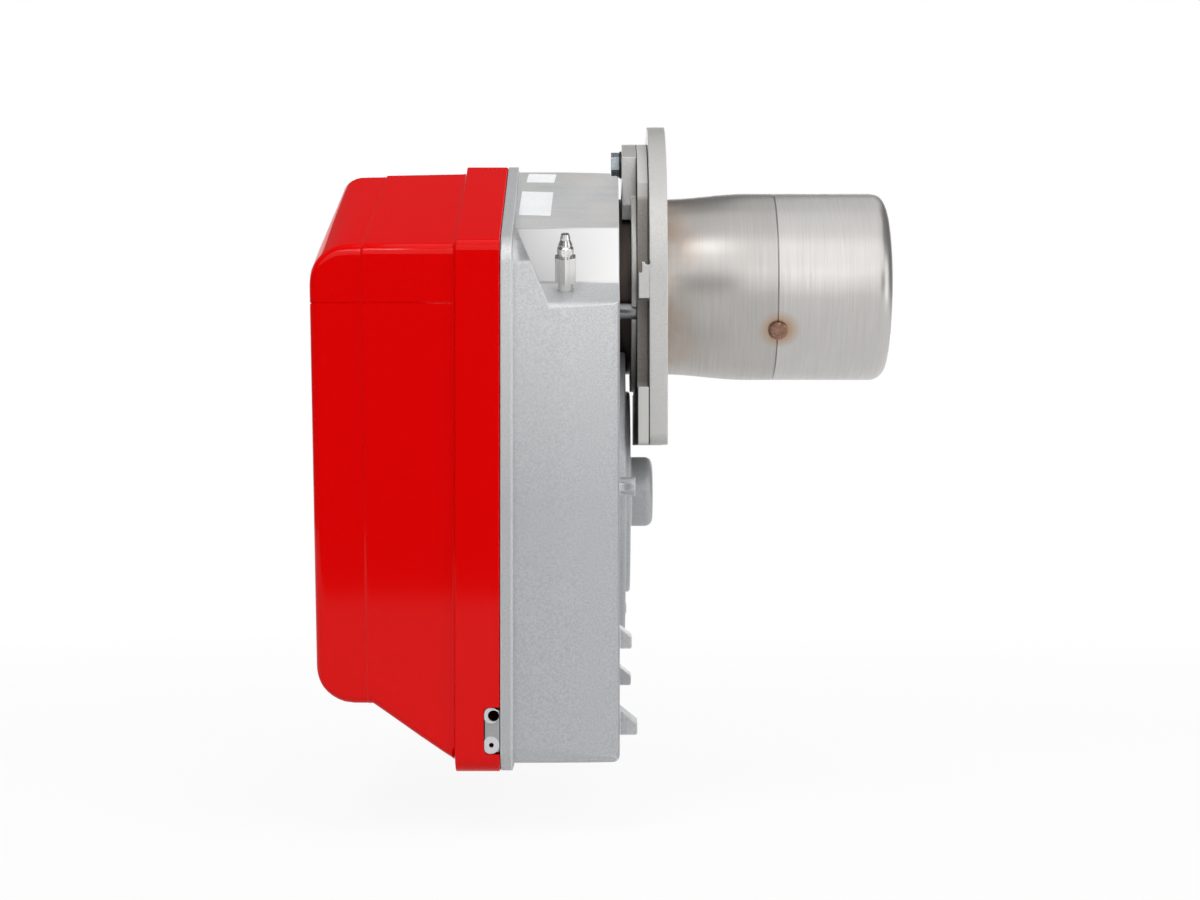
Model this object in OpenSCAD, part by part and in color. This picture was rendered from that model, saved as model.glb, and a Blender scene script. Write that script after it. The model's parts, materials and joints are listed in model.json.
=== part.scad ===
// Compact one-stage oil burner: cast fan housing, red hood, flange and steel blast tube.
// Millimetres. +X runs along the blast tube towards the flame, +Z is up.
// The origin is the centre of the boiler flange's boiler-side face, on the tube's axis.

/* [Blast tube] */
// Outer radius of the blast tube at the flange
tube_r = 52; // [50:0.5:53]
// How much wider the tube's head is than its rear stretch, in radius
head_rise = 3.25; // [2.5:0.25:4.5]
// Sheet thickness of the blast tube
tube_wall = 1.5; // [1:0.1:2]
// Length of the flared rear stretch, from the flange
flare_len = 49; // [40:1:56]
// Place of the joint between tube and head
seam_x = 64.5; // [60:0.5:80]
// Length of the blast tube in front of the flange
mouth_x = 130.5; // [124:0.5:150]
// Radius of the flame mouth
mouth_r = 43; // [41.5:0.5:46]
// Radius of the rounded front edge
mouth_round = 8.5; // [7:0.5:11]
// Radius of a tube screw's shank
tube_screw_r = 2.5; // [2:0.1:3]

/* [Flange] */
// Radius of the flange's arched top, and half its width
flange_r = 94; // [92:0.5:100]
// Thickness of the boiler flange
flange_t = 10; // [8:0.5:12]
// Bolt circle of the boiler flange
bolt_circle = 150; // [146:1:156]
// Diameter of a bolt hole in the boiler flange
bolt_hole = 9; // [7:0.5:10]
// Thickness of the spacer behind the flange
spacer_t = 6.8; // [5:0.2:8]
// Radius of the spacer's arched top
spacer_r = 84; // [82:0.5:90]
// Half the width of the spacer's straight sides
spacer_side = 64; // [62:0.5:68]
// Width of the burner's own round flange, from the tube outwards
collar_w = 14; // [9:0.5:15]
// Thickness of the burner's own flange
collar_t = 2.8; // [2:0.1:4]
// Thickness of the ear that takes the top bolt
ear_t = 8; // [6:0.5:9]
// Height of the top bolt above the tube's axis
bolt_z = 72.6; // [71:0.2:75]
// Nominal size of the top bolt
bolt_d = 8; // [6:1:8]

/* [Housing] */
// Half the width of the housing's rim
half_w = 150; // [146:1:160]
// Top of the rim above the tube's axis
roof_z = 66; // [64:0.5:71]
// Depth of the rim's bottom below the tube's axis
floor_z = 267.5; // [262:0.5:282]
// Half the width of the flat roof
roof_half = 42; // [38:1:46]
// Drop of the sloping roof from the flat roof to the side
roof_drop = 53.4; // [50:0.2:57]
// How far the rim stands out over the walls
rim_step = 4; // [3:0.25:5]
// Thickness of the rim
rim_t = 6; // [5:0.5:8]
// Distance from the flange's boiler face back to the housing's front wall
front_gap = 27; // [26:0.5:30]
// Depth of the housing's walls from the front wall to the rim
body_depth = 57; // [55:1:64]
// Wall thickness of the housing
wall = 3.5; // [3:0.25:4.5]
// Radius of the raised scroll ring on the front wall
ring_r = 88; // [84:0.5:92]
// Radius of the inner ring on the front wall
inner_ring_r = 59.5; // [56:0.5:64]
// Radius of the shaft dome
dome_r = 20.5; // [18:0.5:24]
// How far the shaft dome stands out of the front wall
dome_len = 20.5; // [16:0.5:22]

/* [Hood] */
// Depth of the hood behind the rim
hood_depth = 102; // [100:1:120]
// Wall thickness of the hood
hood_wall = 2.5; // [2:0.25:3]
// Width of the band next to the rim
band_w = 24; // [20:1:28]
// Depth of the hood's middle section
middle_w = 50; // [46:1:54]
// Radius of the rounded edge between the hood's flat roof and its rear
back_round = 14; // [10:1:18]
// Radius of the rounded edge between the hood's sloping roof and its rear
slope_round = 19; // [12:1:22]
// Radius of the hood's upright rear edges
side_round = 5; // [4:0.5:9]
// How far the hood's rear leans forward from its widest place up to the roof
top_lean = 9; // [4:0.5:12]
// How far the hood's rear leans forward from its widest place down to the heel
heel_lean = 4.5; // [2:0.5:7]
// Gap between parts that come apart
gap = 0.3; // [0.2:0.05:0.4]

/* [Fan and motor] */
// Depth of the fan's axis below the tube's axis
fan_drop = 121.7; // [120.5:0.1:124]
// Radius of the fan wheel
fan_r = 60; // [56:0.5:61]
// Width of the fan wheel
fan_w = 38; // [30:1:40]
// Number of fan blades
blades = 30; // [20:1:36]
// Radius of the air inlet in the volute plate
eye_r = 50; // [46:0.5:52]
// Recess of the volute plate behind the rim's face
plate_recess = 10; // [9:0.5:12]
// Thickness of the volute plate
plate_t = 3; // [2:0.25:4]
// Gap between the volute plate and the motor, for the air
motor_gap = 12; // [10:0.5:14]
// Radius of the motor
motor_r = 45; // [42:0.5:46]
// Radius of the motor's shaft
shaft_r = 4; // [3:0.25:5]
// Running clearance of shafts and slides
run = 0.05; // [0.02:0.01:0.08]
// Length of the pump
pump_len = 30; // [26:1:34]
// Width and height of the pump
pump_w = 56; // [52:1:60]
// Radius of the pump's hose ports
port_r = 5.6; // [5:0.1:6.5]

/* [Air damper] */
// Width of the damper flap
flap_w = 46; // [40:1:50]
// Length of the lever on the damper's shaft
lever_len = 20; // [18:0.5:22]
// Rest angle of the lever, down from level
lever_rest = 30; // [25:1:32]

/* [Firing head] */
// Radius of the nozzle line
line_r = 6; // [5:0.25:7]
// Front end of the nozzle line
line_x = 88; // [84:1:94]
// Radius of the flame disc
disc_r = 40; // [36:0.5:41]
// Number of slots in the flame disc
disc_slots = 12; // [8:1:16]
// Radius of an electrode's ceramic
ceramic_r = 5; // [4:0.25:5.5]
// Radius of an ignition lead
lead_r = 3; // [2.5:0.25:3.5]
// Sideways place of the leads and ceramics
lead_y = 14; // [13.5:0.25:16]

/* [Hidden] */
$fn = 48;
head_r = tube_r + head_rise;
fan_z = -fan_drop;
floor0 = -floor_z;
face_x = -front_gap;
rim_front = face_x - body_depth;
rim_x = rim_front - rim_t;
body_half = half_w - rim_step;
corner_r = 12;
inner_x = face_x - wall;
plate_x = rim_x + plate_recess;
plate_front = plate_x + plate_t;
band_x = rim_x - band_w;
panel_x = band_x - middle_w;
back_x = rim_x - hood_depth;
hood_step = 3;
hood_floor = floor0 + 6.5;
heel_z = floor0 + 36.4;
wide_z = 2;
spacer_x = -flange_t - spacer_t;
plate_seat = wall + gap;
collar_x = spacer_x - collar_t;
ear_x = spacer_x - ear_t;
washer_t = 1.2;
bolt_head_h = 5;
lug_wide = 24;
pillar_y = tube_r + 6;
collar_r = tube_r + collar_w;
pillar_z = -18;
pillar_r = 4.3;
collar_floor = -62;
post_r = 6;
scroll_wall = 3;
scroll_gap = 4;
scroll_grow = 36;
throat_z = -70;
throat_y = 75;
fan_x = inner_x - 3;
fan_back = fan_x - fan_w;
hub_r = 12;
motor_x = plate_x - motor_gap;
bell_t = 4;
pump_tail = back_x + hood_wall + 6.5;
pump_cover_t = 5;
pump_x = pump_tail + pump_cover_t + pump_len;
motor_end = pump_x + 12;
coil_h = 30;
stud_ring = motor_r + 9;
bearing_r = 11;
lever_x = plate_x - 4;
jack_x = plate_x - 12;
pin_r = 2;
pin_z = throat_z - lever_len * sin(lever_rest);
jack_y = throat_y + lever_len * (1 + cos(lever_rest)) / 2;
jack_low = pin_z - 60;
jack_len = 38;
block_x = plate_x - 45;
block_len = 17;
screw_z = 20;
adjust_r = 3;
lead_z = -8;
cover_disc_r = 36;
spark_x = line_x + 14;
screw_r = 2.5;
post_spots = [[0, 42.5], [98 - half_w, floor0 + 52], [half_w - 98, floor0 + 52]];
boss_spots = [
    [half_w - 18, floor0 + 18], [18 - half_w, floor0 + 18], [half_w - 18, floor0 + 150],
    [18 - half_w, floor0 + 150], [78, 22], [-78, 22]
];
box_y = 49 - half_w;
box_z = floor0 + 92;
box_w = 70;
box_h = 85;
box_x = plate_x - 80;
coil_y = half_w - 49;
coil_z = floor0 + 80;
coil_w = 70;
coil_box_h = 65;
coil_x = plate_x - 52;
bushing_len = 14;
boot_x = coil_x - 8.2;
nipple_x = face_x - 29;
ledge_lean = 24;
nipple_y = half_w - 23.5;
notch_x = 8.8;
notch_low = floor0 + 10.1;
notch_high = floor0 + 34.8;
button_r = 8;
wire_r = 1.2;
photo_y = -52;
cap_y = 45 - half_w;
plug_y = 45 - half_w;
cap_z = -68;

// Plane outlines: points [x, y, corner radius], anticlockwise
function unit(v) = v / norm(v);
function flat(p) = [p[0], p[1]];
function left(v) = [-v[1], v[0]];
function heading(v) = atan2(v[1], v[0]);
function wrap(a) = a > 180 ? a - 360 : a < -180 ? a + 360 : a;
function arc_corner(a, p, b, r, n) =
    r <= 0 ? [p] :
    let (u = unit(a - p), v = unit(b - p), h = acos(max(-1, min(1, u * v))) / 2,
         c = p + unit(u + v) * r / sin(h),
         s = heading(p + u * r / tan(h) - c),
         w = wrap(heading(p + v * r / tan(h) - c) - s))
    [for (i = [0:n]) c + r * [cos(s + w * i / n), sin(s + w * i / n)]];
function soft(pts, n = 4) = let (m = len(pts)) [
    for (i = [0:m - 1])
        each arc_corner(flat(pts[(i + m - 1) % m]), flat(pts[i]), flat(pts[(i + 1) % m]), pts[i][2], n)
];
function inset(pts, g) = let (m = len(pts)) [
    for (i = [0:m - 1])
        let (a = flat(pts[(i + m - 1) % m]), p = flat(pts[i]), b = flat(pts[(i + 1) % m]),
             n1 = left(unit(p - a)), n2 = left(unit(b - p)), q = p + g * (n1 + n2) / (1 + n1 * n2),
             bend = (p - a)[0] * (b - p)[1] - (p - a)[1] * (b - p)[0])
        [q[0], q[1], pts[i][2] <= 0 ? 0 : bend > 0 ? max(pts[i][2] - g, 0.4) : pts[i][2] + g]
];
function mirrored(half) = concat(
    half, [for (i = [len(half) - 1:-1:0]) [-half[i][0], half[i][1], half[i][2]]]);

module along_x(x0, x1) {
    translate([x0, 0, 0]) rotate([90, 0, 90]) linear_extrude(x1 - x0) children();
}
module along_y(y0, y1) {
    translate([0, y1, 0]) rotate([90, 0, 0]) linear_extrude(y1 - y0) children();
}
module rod_x(x0, x1, r, y = 0, z = 0) {
    translate([x0, y, z]) rotate([0, 90, 0]) cylinder(h = x1 - x0, r = r);
}
module turned_x(y = 0, z = 0) {
    translate([0, y, z]) rotate([0, 90, 0]) rotate_extrude() rotate([0, 0, 90]) mirror([0, 1]) children();
}
module block(x0, x1, y0, y1, z0, z1) {
    translate([x0, y0, z0]) cube([x1 - x0, y1 - y0, z1 - z0]);
}
module hex_x(x0, x1, flats, y = 0, z = 0, turn = 0) {
    translate([x0, y, z]) rotate([0, 90, 0]) rotate([0, 0, turn])
        cylinder(h = x1 - x0, r = flats / sqrt(3), $fn = 6);
}

// Swept round cords and pipes: a smooth curve through the points, carried without twist
function spline(p, t) = let (n = len(p) - 1, i = min(floor(t), n - 1), u = t - i,
    a = p[max(i - 1, 0)], b = p[i], c = p[i + 1], d = p[min(i + 2, n)])
    0.5 * (2 * b + (c - a) * u + (2 * a - 5 * b + 4 * c - d) * u * u
        + (3 * b - a - 3 * c + d) * u * u * u);
function route(p, steps) = [for (i = [0:(len(p) - 1) * steps]) spline(p, i / steps)];
function tangent(q, i) = unit(q[min(i + 1, len(q) - 1)] - q[max(i - 1, 0)]);
function square_to(n, t) = unit(n - (n * t) * t);
module cord(p, r, steps = 3, sides = 8, start = [0, 0.6, 0.8]) {
    q = route(p, steps);
    m = len(q);
    normals = [for (i = 0, n = square_to(start, tangent(q, 0)); i < m;
        i = i + 1, n = i < m ? square_to(n, tangent(q, i)) : n) n];
    ring = [for (i = [0:m - 1]) for (k = [0:sides - 1])
        let (t = tangent(q, i), n = normals[i], b = cross(t, n), a = 360 * k / sides)
        q[i] + r * (cos(a) * n + sin(a) * b)];
    sides_f = [for (i = [0:m - 2]) for (k = [0:sides - 1])
        let (a = i * sides + k, b = i * sides + (k + 1) % sides)
        each [[a, a + sides, b], [b, a + sides, b + sides]]];
    caps = [[for (k = [0:sides - 1]) k], [for (k = [sides - 1:-1:0]) (m - 1) * sides + k]];
    polyhedron(ring, concat(sides_f, caps));
}

// Outlines of the housing and the hood, seen along the tube
rim_half = [
    [half_w, floor0, corner_r], [half_w, roof_z - roof_drop, 18], [roof_half, roof_z, 6]
];
rim_outline = mirrored(rim_half);
body_outline = inset(rim_outline, rim_step);
recess_outline = mirrored([
    [body_half, floor0 + rim_step, corner_r - rim_step], [body_half, -19.4, 5],
    [half_w - 33, -6.5, 3], [half_w - 50, 25, 2], [roof_half, roof_z - rim_step + 1, 3]
]);
lean_profile = [
    [rim_x, floor0, 0], [rim_front + 30, floor0, 0], [rim_front + 19, -19.4, 9],
    [rim_front, 26, 0], [rim_front, roof_z + 5, 0], [rim_x, roof_z + 5, 0]
];
function side_profile(back) = [
    [back, floor0 + rim_step - 0.5, 0], [face_x, floor0 + rim_step + 1, 4],
    [face_x, roof_z - rim_step, 4], [back, roof_z - rim_step + 2, 0]
];
function plan_outline(back) = [
    [back, -body_half - 1, 0], [face_x, -body_half + 1, 4],
    [face_x, body_half - 1, 4], [back, body_half + 1, 0]
];

// The housing's main form, or with g its inside at that depth from the outer skin
module housing_form(g) {
    back = rim_x - 1 - 2 * g;
    intersection() {
        union() {
            along_x(back, face_x) polygon(soft(inset(recess_outline, g)));
            intersection() {
                along_x(back, rim_front + 30) polygon(soft(inset(body_outline, g)));
                along_y(-half_w, half_w) polygon(
                    [for (p = soft(lean_profile)) [p[0] < rim_front ? back : p[0] - g * 0.9, p[1]]]);
            }
        }
        along_y(-half_w, half_w) polygon(soft(inset(side_profile(back), g)));
        translate([0, 0, floor0 - 5]) linear_extrude(roof_z + floor_z + 20)
            polygon(soft(inset(plan_outline(back), g)));
    }
}

function scroll_r(a) = fan_r + scroll_gap + (a < 120 ? 0 : scroll_grow * (a - 120) / 240);
function scroll_point(a, t) = [(scroll_r(a) + t) * cos(a), fan_z + (scroll_r(a) + t) * sin(a)];
module scroll() {
    angles = [for (i = [0:28]) 45 + 315 * i / 28];
    tip = scroll_r(360);
    along_x(plate_front, inner_x + 0.5) polygon(concat(
        [for (a = angles) scroll_point(a, 0)], [[tip, -25], [tip + scroll_wall, -25]],
        [for (i = [28:-1:0]) scroll_point(angles[i], scroll_wall)]
    ));
}

module front_rings() {
    turned_x(0, fan_z) polygon(concat(
        [[inner_x + 1, 0], [inner_x + 1, ring_r]],
        [[face_x + 3, ring_r], [face_x + 4, ring_r - 1], [face_x + 4, inner_ring_r]],
        [[face_x + 6, inner_ring_r], [face_x + 7, inner_ring_r - 1]],
        [[face_x + 7, dome_r + 1], [face_x + 8, dome_r]],
        [for (i = [0:4]) let (a = 22.5 * i)
            [face_x + dome_len - 4.5 + 4.5 * sin(a), dome_r - 4.5 + 4.5 * cos(a)]],
        [[face_x + dome_len, 0]]
    ));
}
module front_hollows() {
    turned_x(0, fan_z) polygon([
        [inner_x - 1, 0], [inner_x - 1, ring_r - wall], [inner_x + 4, ring_r - wall],
        [inner_x + 4, inner_ring_r - wall], [inner_x + 7, inner_ring_r - wall],
        [inner_x + 7, dome_r - wall], [face_x + dome_len - wall, dome_r - wall],
        [face_x + dome_len - wall, 0]
    ]);
}
module lug(y, top, low, out) {
    along_y(y - lug_wide / 2, y + lug_wide / 2) polygon([
        [face_x - 1, low], [face_x + out - 0.8, low], [face_x + out, low + 1],
        [face_x + out, low + 6], [face_x - 1, top]
    ]);
}

module fan_housing() color([0.70, 0.71, 0.72]) {
    difference() {
        union() {
            difference() {
                union() {
                    housing_form(0);
                    along_x(rim_x, rim_front) polygon(soft(rim_outline));
                    front_rings();
                }
                block(rim_x - 3, rim_x, -half_w - 1, half_w + 1, floor0 - 1, roof_z + 3);
                difference() {
                    housing_form(wall);
                    block(inner_x - 6, inner_x + 2, -50, 50, roof_z - 16, roof_z);
                }
                front_hollows();
            }
            for (p = boss_spots) rod_x(plate_front, inner_x + 1, post_r, p[0], p[1]);
            intersection() {
                scroll();
                housing_form(wall / 2);
            }
            rod_x(plate_front + 8, inner_x + 1, 7, throat_y, throat_z);
            for (s = [-1, 1]) {
                rod_x(face_x - 2, spacer_x, pillar_r, s * pillar_y, pillar_z);
                rod_x(face_x - 2, face_x + 8.5, 5, s * (half_w - 26), fan_z + 5);
                block(face_x - 2, face_x + 4, s > 0 ? half_w - 26 : 8 - half_w,
                    s > 0 ? half_w - 8 : 26 - half_w, fan_z + 3, fan_z + 7);
                lug(s * (half_w - 27), -191, -203, 6.5);
                lug(s * (half_w - 27), floor0 + 33, floor0 + 18.5, 9.5);
            }
        }
        rod_x(inner_x - 3, face_x + 12, tube_r + run);
        block(face_x - 4.5, face_x + 8, -46, 46, roof_z - 11, roof_z + 2);
        rod_x(plate_front + 7, inner_x + 1, shaft_r + run, throat_y, throat_z);
        block(plate_front + 7, inner_x - 3.5, throat_y - 8, throat_y + 8, throat_z - 8, throat_z + 8);
        for (p = boss_spots) rod_x(plate_front - 1, plate_front + 12, 2, p[0], p[1]);
        for (s = [-1, 1]) translate([nipple_x, s * nipple_y, -11]) rotate([-s * ledge_lean, 0, 0])
            if (s < 0) translate([0, 0, -12]) cylinder(h = 24, r = 4 + run);
    }
}

// The volute plate closes the fan chamber behind the wheel
module volute_plate() color([0.66, 0.67, 0.68]) {
    difference() {
        intersection() {
            housing_form(plate_seat);
            block(plate_x, plate_front, -half_w, half_w, floor0, roof_z);
        }
        rod_x(plate_x - 1, plate_front + 1, eye_r, 0, fan_z);
        rod_x(plate_x - 1, plate_front + 1, cover_disc_r - 6);
        rod_x(plate_x - 1, plate_front + 1, shaft_r + run, throat_y, throat_z);
        for (p = boss_spots) rod_x(plate_x - 1, plate_front + 1, screw_r + gap, p[0], p[1]);
    }
}
module plate_screws() color([0.55, 0.56, 0.58]) {
    for (p = boss_spots) {
        rod_x(plate_x - 3, plate_x, 4.2, p[0], p[1]);
        rod_x(plate_x, plate_front + 10, 1.9, p[0], p[1]);
    }
}

// Boiler flange, its spacer, and the burner's own flange behind them
function arch(r, side, low, round_r) = [
    [-side, low, round_r], [side, low, round_r], [side, r, r - 0.5], [-side, r, r - 0.5]
];
module flange_holes(x0, x1) {
    for (a = [45:90:315])
        rod_x(x0, x1, bolt_hole / 2, bolt_circle / 2 * cos(a), bolt_circle / 2 * sin(a));
}
module boiler_flange() color([0.74, 0.74, 0.73]) {
    difference() {
        union() {
            along_x(-flange_t, 0) polygon(soft(arch(flange_r, flange_r, -flange_r, 6), 20));
            for (s = [-1, 1]) {
                y0 = s > 0 ? spacer_side + 10 : 0.5 - flange_r;
                y1 = s > 0 ? flange_r - 0.5 : -spacer_side - 10;
                block(spacer_x + 0.8, 1 - flange_t, y0, y1, -13, 1);
                block(spacer_x + 2.6, 1 - flange_t, y0, y1, 0.5, 7);
            }
        }
        rod_x(-flange_t - 1, 1, tube_r + 1.2);
        flange_holes(-flange_t - 1, 1);
        rod_x(-flange_t - 1, -4, bolt_d / 2 + run, 0, bolt_z);
        along_y(-flange_r - 1, flange_r + 1) translate([-flange_t - 1.2, 7]) circle(r = 1.6);
    }
}
module flange_spacer() color([0.50, 0.47, 0.44]) {
    top = sqrt(pow(spacer_r, 2) - pow(spacer_side, 2));
    turn = atan2(top, spacer_side);
    difference() {
        along_x(spacer_x, -flange_t) polygon(concat(
            [[-flange_r + 1, -flange_r], [flange_r - 1, -flange_r], [flange_r, -flange_r + 1]],
            [[flange_r, collar_floor], [spacer_side, collar_floor]],
            [for (i = [0:16]) let (a = turn + (180 - 2 * turn) * i / 16) spacer_r * [cos(a), sin(a)]],
            [[-spacer_side, collar_floor], [-flange_r, collar_floor], [-flange_r, -flange_r + 1]]
        ));
        rod_x(spacer_x - 1, -flange_t + 1, tube_r + 1.2);
        flange_holes(spacer_x - 1, -flange_t + 1);
        rod_x(spacer_x - 1, -flange_t + 1, bolt_d / 2 + gap, 0, bolt_z);
    }
}
module burner_flange() color([0.62, 0.60, 0.57]) {
    turn = asin(-collar_floor / collar_r);
    difference() {
        union() {
            along_x(collar_x, spacer_x) polygon(
                [for (i = [0:40]) let (a = -turn + (180 + 2 * turn) * i / 40) collar_r * [cos(a), sin(a)]]);
            along_x(ear_x, spacer_x) polygon(concat(
                [[-40, 36], [40, 36], [44, 44]],
                [for (i = [0:10]) let (a = 58 + 64 * i / 10) spacer_r * [cos(a), sin(a)]], [[-44, 44]]));
        }
        rod_x(ear_x - 1, spacer_x + 1, tube_r + run);
        rod_x(ear_x - 1, spacer_x + 1, bolt_d / 2 + gap, 0, bolt_z);
        for (s = [-1, 1]) rod_x(ear_x - 1, spacer_x + 1, pillar_r + 2, s * pillar_y, pillar_z);
    }
}
module flange_bolt() color([0.62, 0.68, 0.72]) {
    hex_x(ear_x - washer_t - bolt_head_h, ear_x - washer_t, 1.625 * bolt_d, 0, bolt_z, 0);
    rod_x(ear_x - washer_t, -5, bolt_d / 2, 0, bolt_z);
}
module flange_washer() color([0.25, 0.26, 0.28]) {
    difference() {
        rod_x(ear_x - washer_t, ear_x, bolt_d, 0, bolt_z);
        rod_x(ear_x - washer_t - 1, ear_x + 1, bolt_d / 2 + run, 0, bolt_z);
    }
}

// Blast tube in two stretches, joined on a spigot with round-headed screws
function flare(t) = tube_r + (head_r - tube_r) * (1 - cos(180 * t)) / 2;
spigot = head_r - tube_wall - run;
tube_back = inner_x - 2;
module tube_screw_holes(r) {
    for (a = [30, 210]) translate([seam_x, 0, 0]) rotate([a - 90, 0, 0]) cylinder(h = head_r + 5, r = r);
}
module blast_tube() color([0.66, 0.62, 0.57]) {
    difference() {
        turned_x() polygon(concat(
            [[tube_back, tube_r - tube_wall], [tube_back, tube_r]],
            [for (i = [0:8]) [flare_len * i / 8, flare(i / 8)]],
            [[seam_x, head_r], [seam_x, head_r - tube_wall]],
            [for (i = [8:-1:0]) [flare_len * i / 8, flare(i / 8) - tube_wall]]
        ));
        tube_screw_holes(tube_screw_r + run);
    }
}
module tube_head() color([0.70, 0.66, 0.61]) {
    c = mouth_x - mouth_round;
    difference() {
        turned_x() polygon(concat(
            [[seam_x - 11, spigot - tube_wall], [seam_x - 11, spigot], [seam_x, spigot], [seam_x, head_r]],
            [for (i = [0:6]) let (a = 15 * i)
                [c + mouth_round * sin(a), head_r - mouth_round * (1 - cos(a)) * 0.9]],
            [[mouth_x, mouth_r], [mouth_x - tube_wall, mouth_r]],
            [for (i = [6:-1:0]) let (a = 15 * i, r = mouth_round - tube_wall)
                [c + r * sin(a), head_r - tube_wall - r * (1 - cos(a)) * 0.9]],
            [[seam_x + 3, head_r - tube_wall], [seam_x + 1.5, spigot - tube_wall]]
        ));
        tube_screw_holes(tube_screw_r + run);
    }
}
module tube_screws() color([0.50, 0.34, 0.26]) {
    for (a = [30, 210]) translate([seam_x, 0, 0]) rotate([a - 90, 0, 0]) {
        translate([0, 0, head_r - 5]) cylinder(h = 5.5, r = tube_screw_r);
        translate([0, 0, head_r]) rotate_extrude()
            polygon([[0, 0.1], [5.5, 0.1], [5.5, 0.8], [4.6, 2], [2.8, 2.8], [0, 3]]);
    }
}

// Pressure test nipple, square to the sloping ledge on the near side
module test_nipple() color([0.80, 0.80, 0.79]) {
    translate([nipple_x, -nipple_y, -11]) rotate([ledge_lean, 0, 0]) difference() {
        union() {
            translate([0, 0, -8]) cylinder(h = 13, r = 4);
            translate([0, 0, 5]) rotate([0, 0, 30]) cylinder(h = 14, r = 6.4, $fn = 6);
            translate([0, 0, 19]) rotate_extrude() polygon([
                [0, -0.5], [3.6, -0.5], [3.6, 1.6], [4.5, 1.8], [4.5, 4.8], [3.4, 6.4],
                [4, 6.6], [2.6, 9.6], [2.9, 9.8], [2.2, 12.6], [0, 12.6]
            ]);
        }
        translate([0, 0, 24]) cylinder(h = 9, r = 1.1);
    }
}

// Cable entry in the hood's near-side band
module notch_shape(g) {
    translate([rim_x, 0]) polygon(soft([
        [-notch_x + g, notch_low + g, 3], [0, notch_low + g, 0],
        [0, notch_high - g, 0], [-notch_x + g, notch_high - g, 3]
    ]));
}
grommet_spots = [[rim_x - 4.4, notch_high - 6.5, 2], [rim_x - 4.4, notch_low + 6.5, 1.2]];
module grommet_plate() color([0.62, 0.62, 0.60]) {
    difference() {
        along_y(-half_w - 0.2, -half_w + 9) notch_shape(gap);
        for (p = grommet_spots) along_y(-half_w - 1, -half_w + 10) translate([p[0], p[1]]) circle(r = 3.6);
    }
}
module cable_grommets() color([0.80, 0.80, 0.79]) {
    for (p = grommet_spots) difference() {
        union() {
            along_y(-half_w - 1.2, -half_w - 0.2) translate([p[0], p[1]]) circle(r = 4.1);
            along_y(-half_w - 0.2, -half_w + 9.5) translate([p[0], p[1]]) circle(r = 3.6 - run);
        }
        along_y(-half_w - 2, -half_w + 11) translate([p[0], p[1]]) circle(r = p[2]);
    }
}

// Motor on four studs behind the air inlet
stud_spots = [for (a = [45:90:315]) [stud_ring * cos(a), fan_z + stud_ring * sin(a)]];
module bell(x0, x1, boss_x0, boss_x1) {
    difference() {
        union() {
            rod_x(x0, x1, motor_r, 0, fan_z);
            rod_x(boss_x0, boss_x1, bearing_r + 3, 0, fan_z);
        }
        rod_x(boss_x0 - 1, boss_x1 + 1, bearing_r + 0.02, 0, fan_z);
    }
}
module motor_front_bell() color([0.30, 0.31, 0.33]) {
    difference() {
        union() {
            bell(motor_x - bell_t, motor_x, motor_x - 10, motor_x);
            for (p = stud_spots) {
                rod_x(motor_x - bell_t, motor_x, 7, p[0], p[1]);
                along_x(motor_x - bell_t, motor_x) polygon([
                    for (q = [[-5, 0], [5, 0], [5, -14], [-5, -14]])
                        let (a = atan2(p[1] - fan_z, p[0]) - 90)
                        [p[0] + q[0] * cos(a) - q[1] * sin(a), p[1] + q[0] * sin(a) + q[1] * cos(a)]
                ]);
            }
        }
        rod_x(motor_x - 12, motor_x + 2, bearing_r + 0.02, 0, fan_z);
        for (p = stud_spots) rod_x(motor_x - bell_t - 1, motor_x + 1, screw_r + run, p[0], p[1]);
    }
}
module motor_rear_bell() color([0.30, 0.31, 0.33]) {
    bell(motor_end, motor_end + bell_t, motor_end, motor_end + 10);
}
module motor_shell() color([0.24, 0.25, 0.27]) {
    difference() {
        rod_x(motor_end + bell_t, motor_x - bell_t, motor_r, 0, fan_z);
        rod_x(motor_end + bell_t - 1, motor_x - bell_t + 1, motor_r - 2.5, 0, fan_z);
    }
}
module stator() color([0.55, 0.36, 0.22]) {
    difference() {
        rod_x(motor_end + 11, motor_x - 11, motor_r - 2.5, 0, fan_z);
        rod_x(motor_end + 10, motor_x - 10, motor_r * 0.56, 0, fan_z);
    }
}
module bearings() color([0.75, 0.76, 0.78]) {
    for (x = [motor_end + 1, motor_x - 9]) difference() {
        rod_x(x, x + 8, bearing_r, 0, fan_z);
        rod_x(x - 1, x + 9, shaft_r + run, 0, fan_z);
    }
}
module motor_studs() color([0.60, 0.61, 0.63]) {
    for (p = stud_spots) {
        rod_x(motor_x, plate_x, 5, p[0], p[1]);
        rod_x(motor_x - bell_t - 3, motor_x + 1, screw_r, p[0], p[1]);
        hex_x(motor_x - bell_t - 4, motor_x - bell_t, 8, p[0], p[1]);
    }
}
module rotor_core() color([0.45, 0.46, 0.48]) {
    difference() {
        rod_x(motor_end + 12, motor_x - 12, motor_r * 0.56 - 0.4, 0, fan_z);
        rod_x(motor_end + 11, motor_x - 11, shaft_r, 0, fan_z);
    }
}
module motor_shaft() color([0.72, 0.73, 0.75]) {
    rod_x(motor_end - 6, fan_x - 2, shaft_r, 0, fan_z);
}

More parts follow.
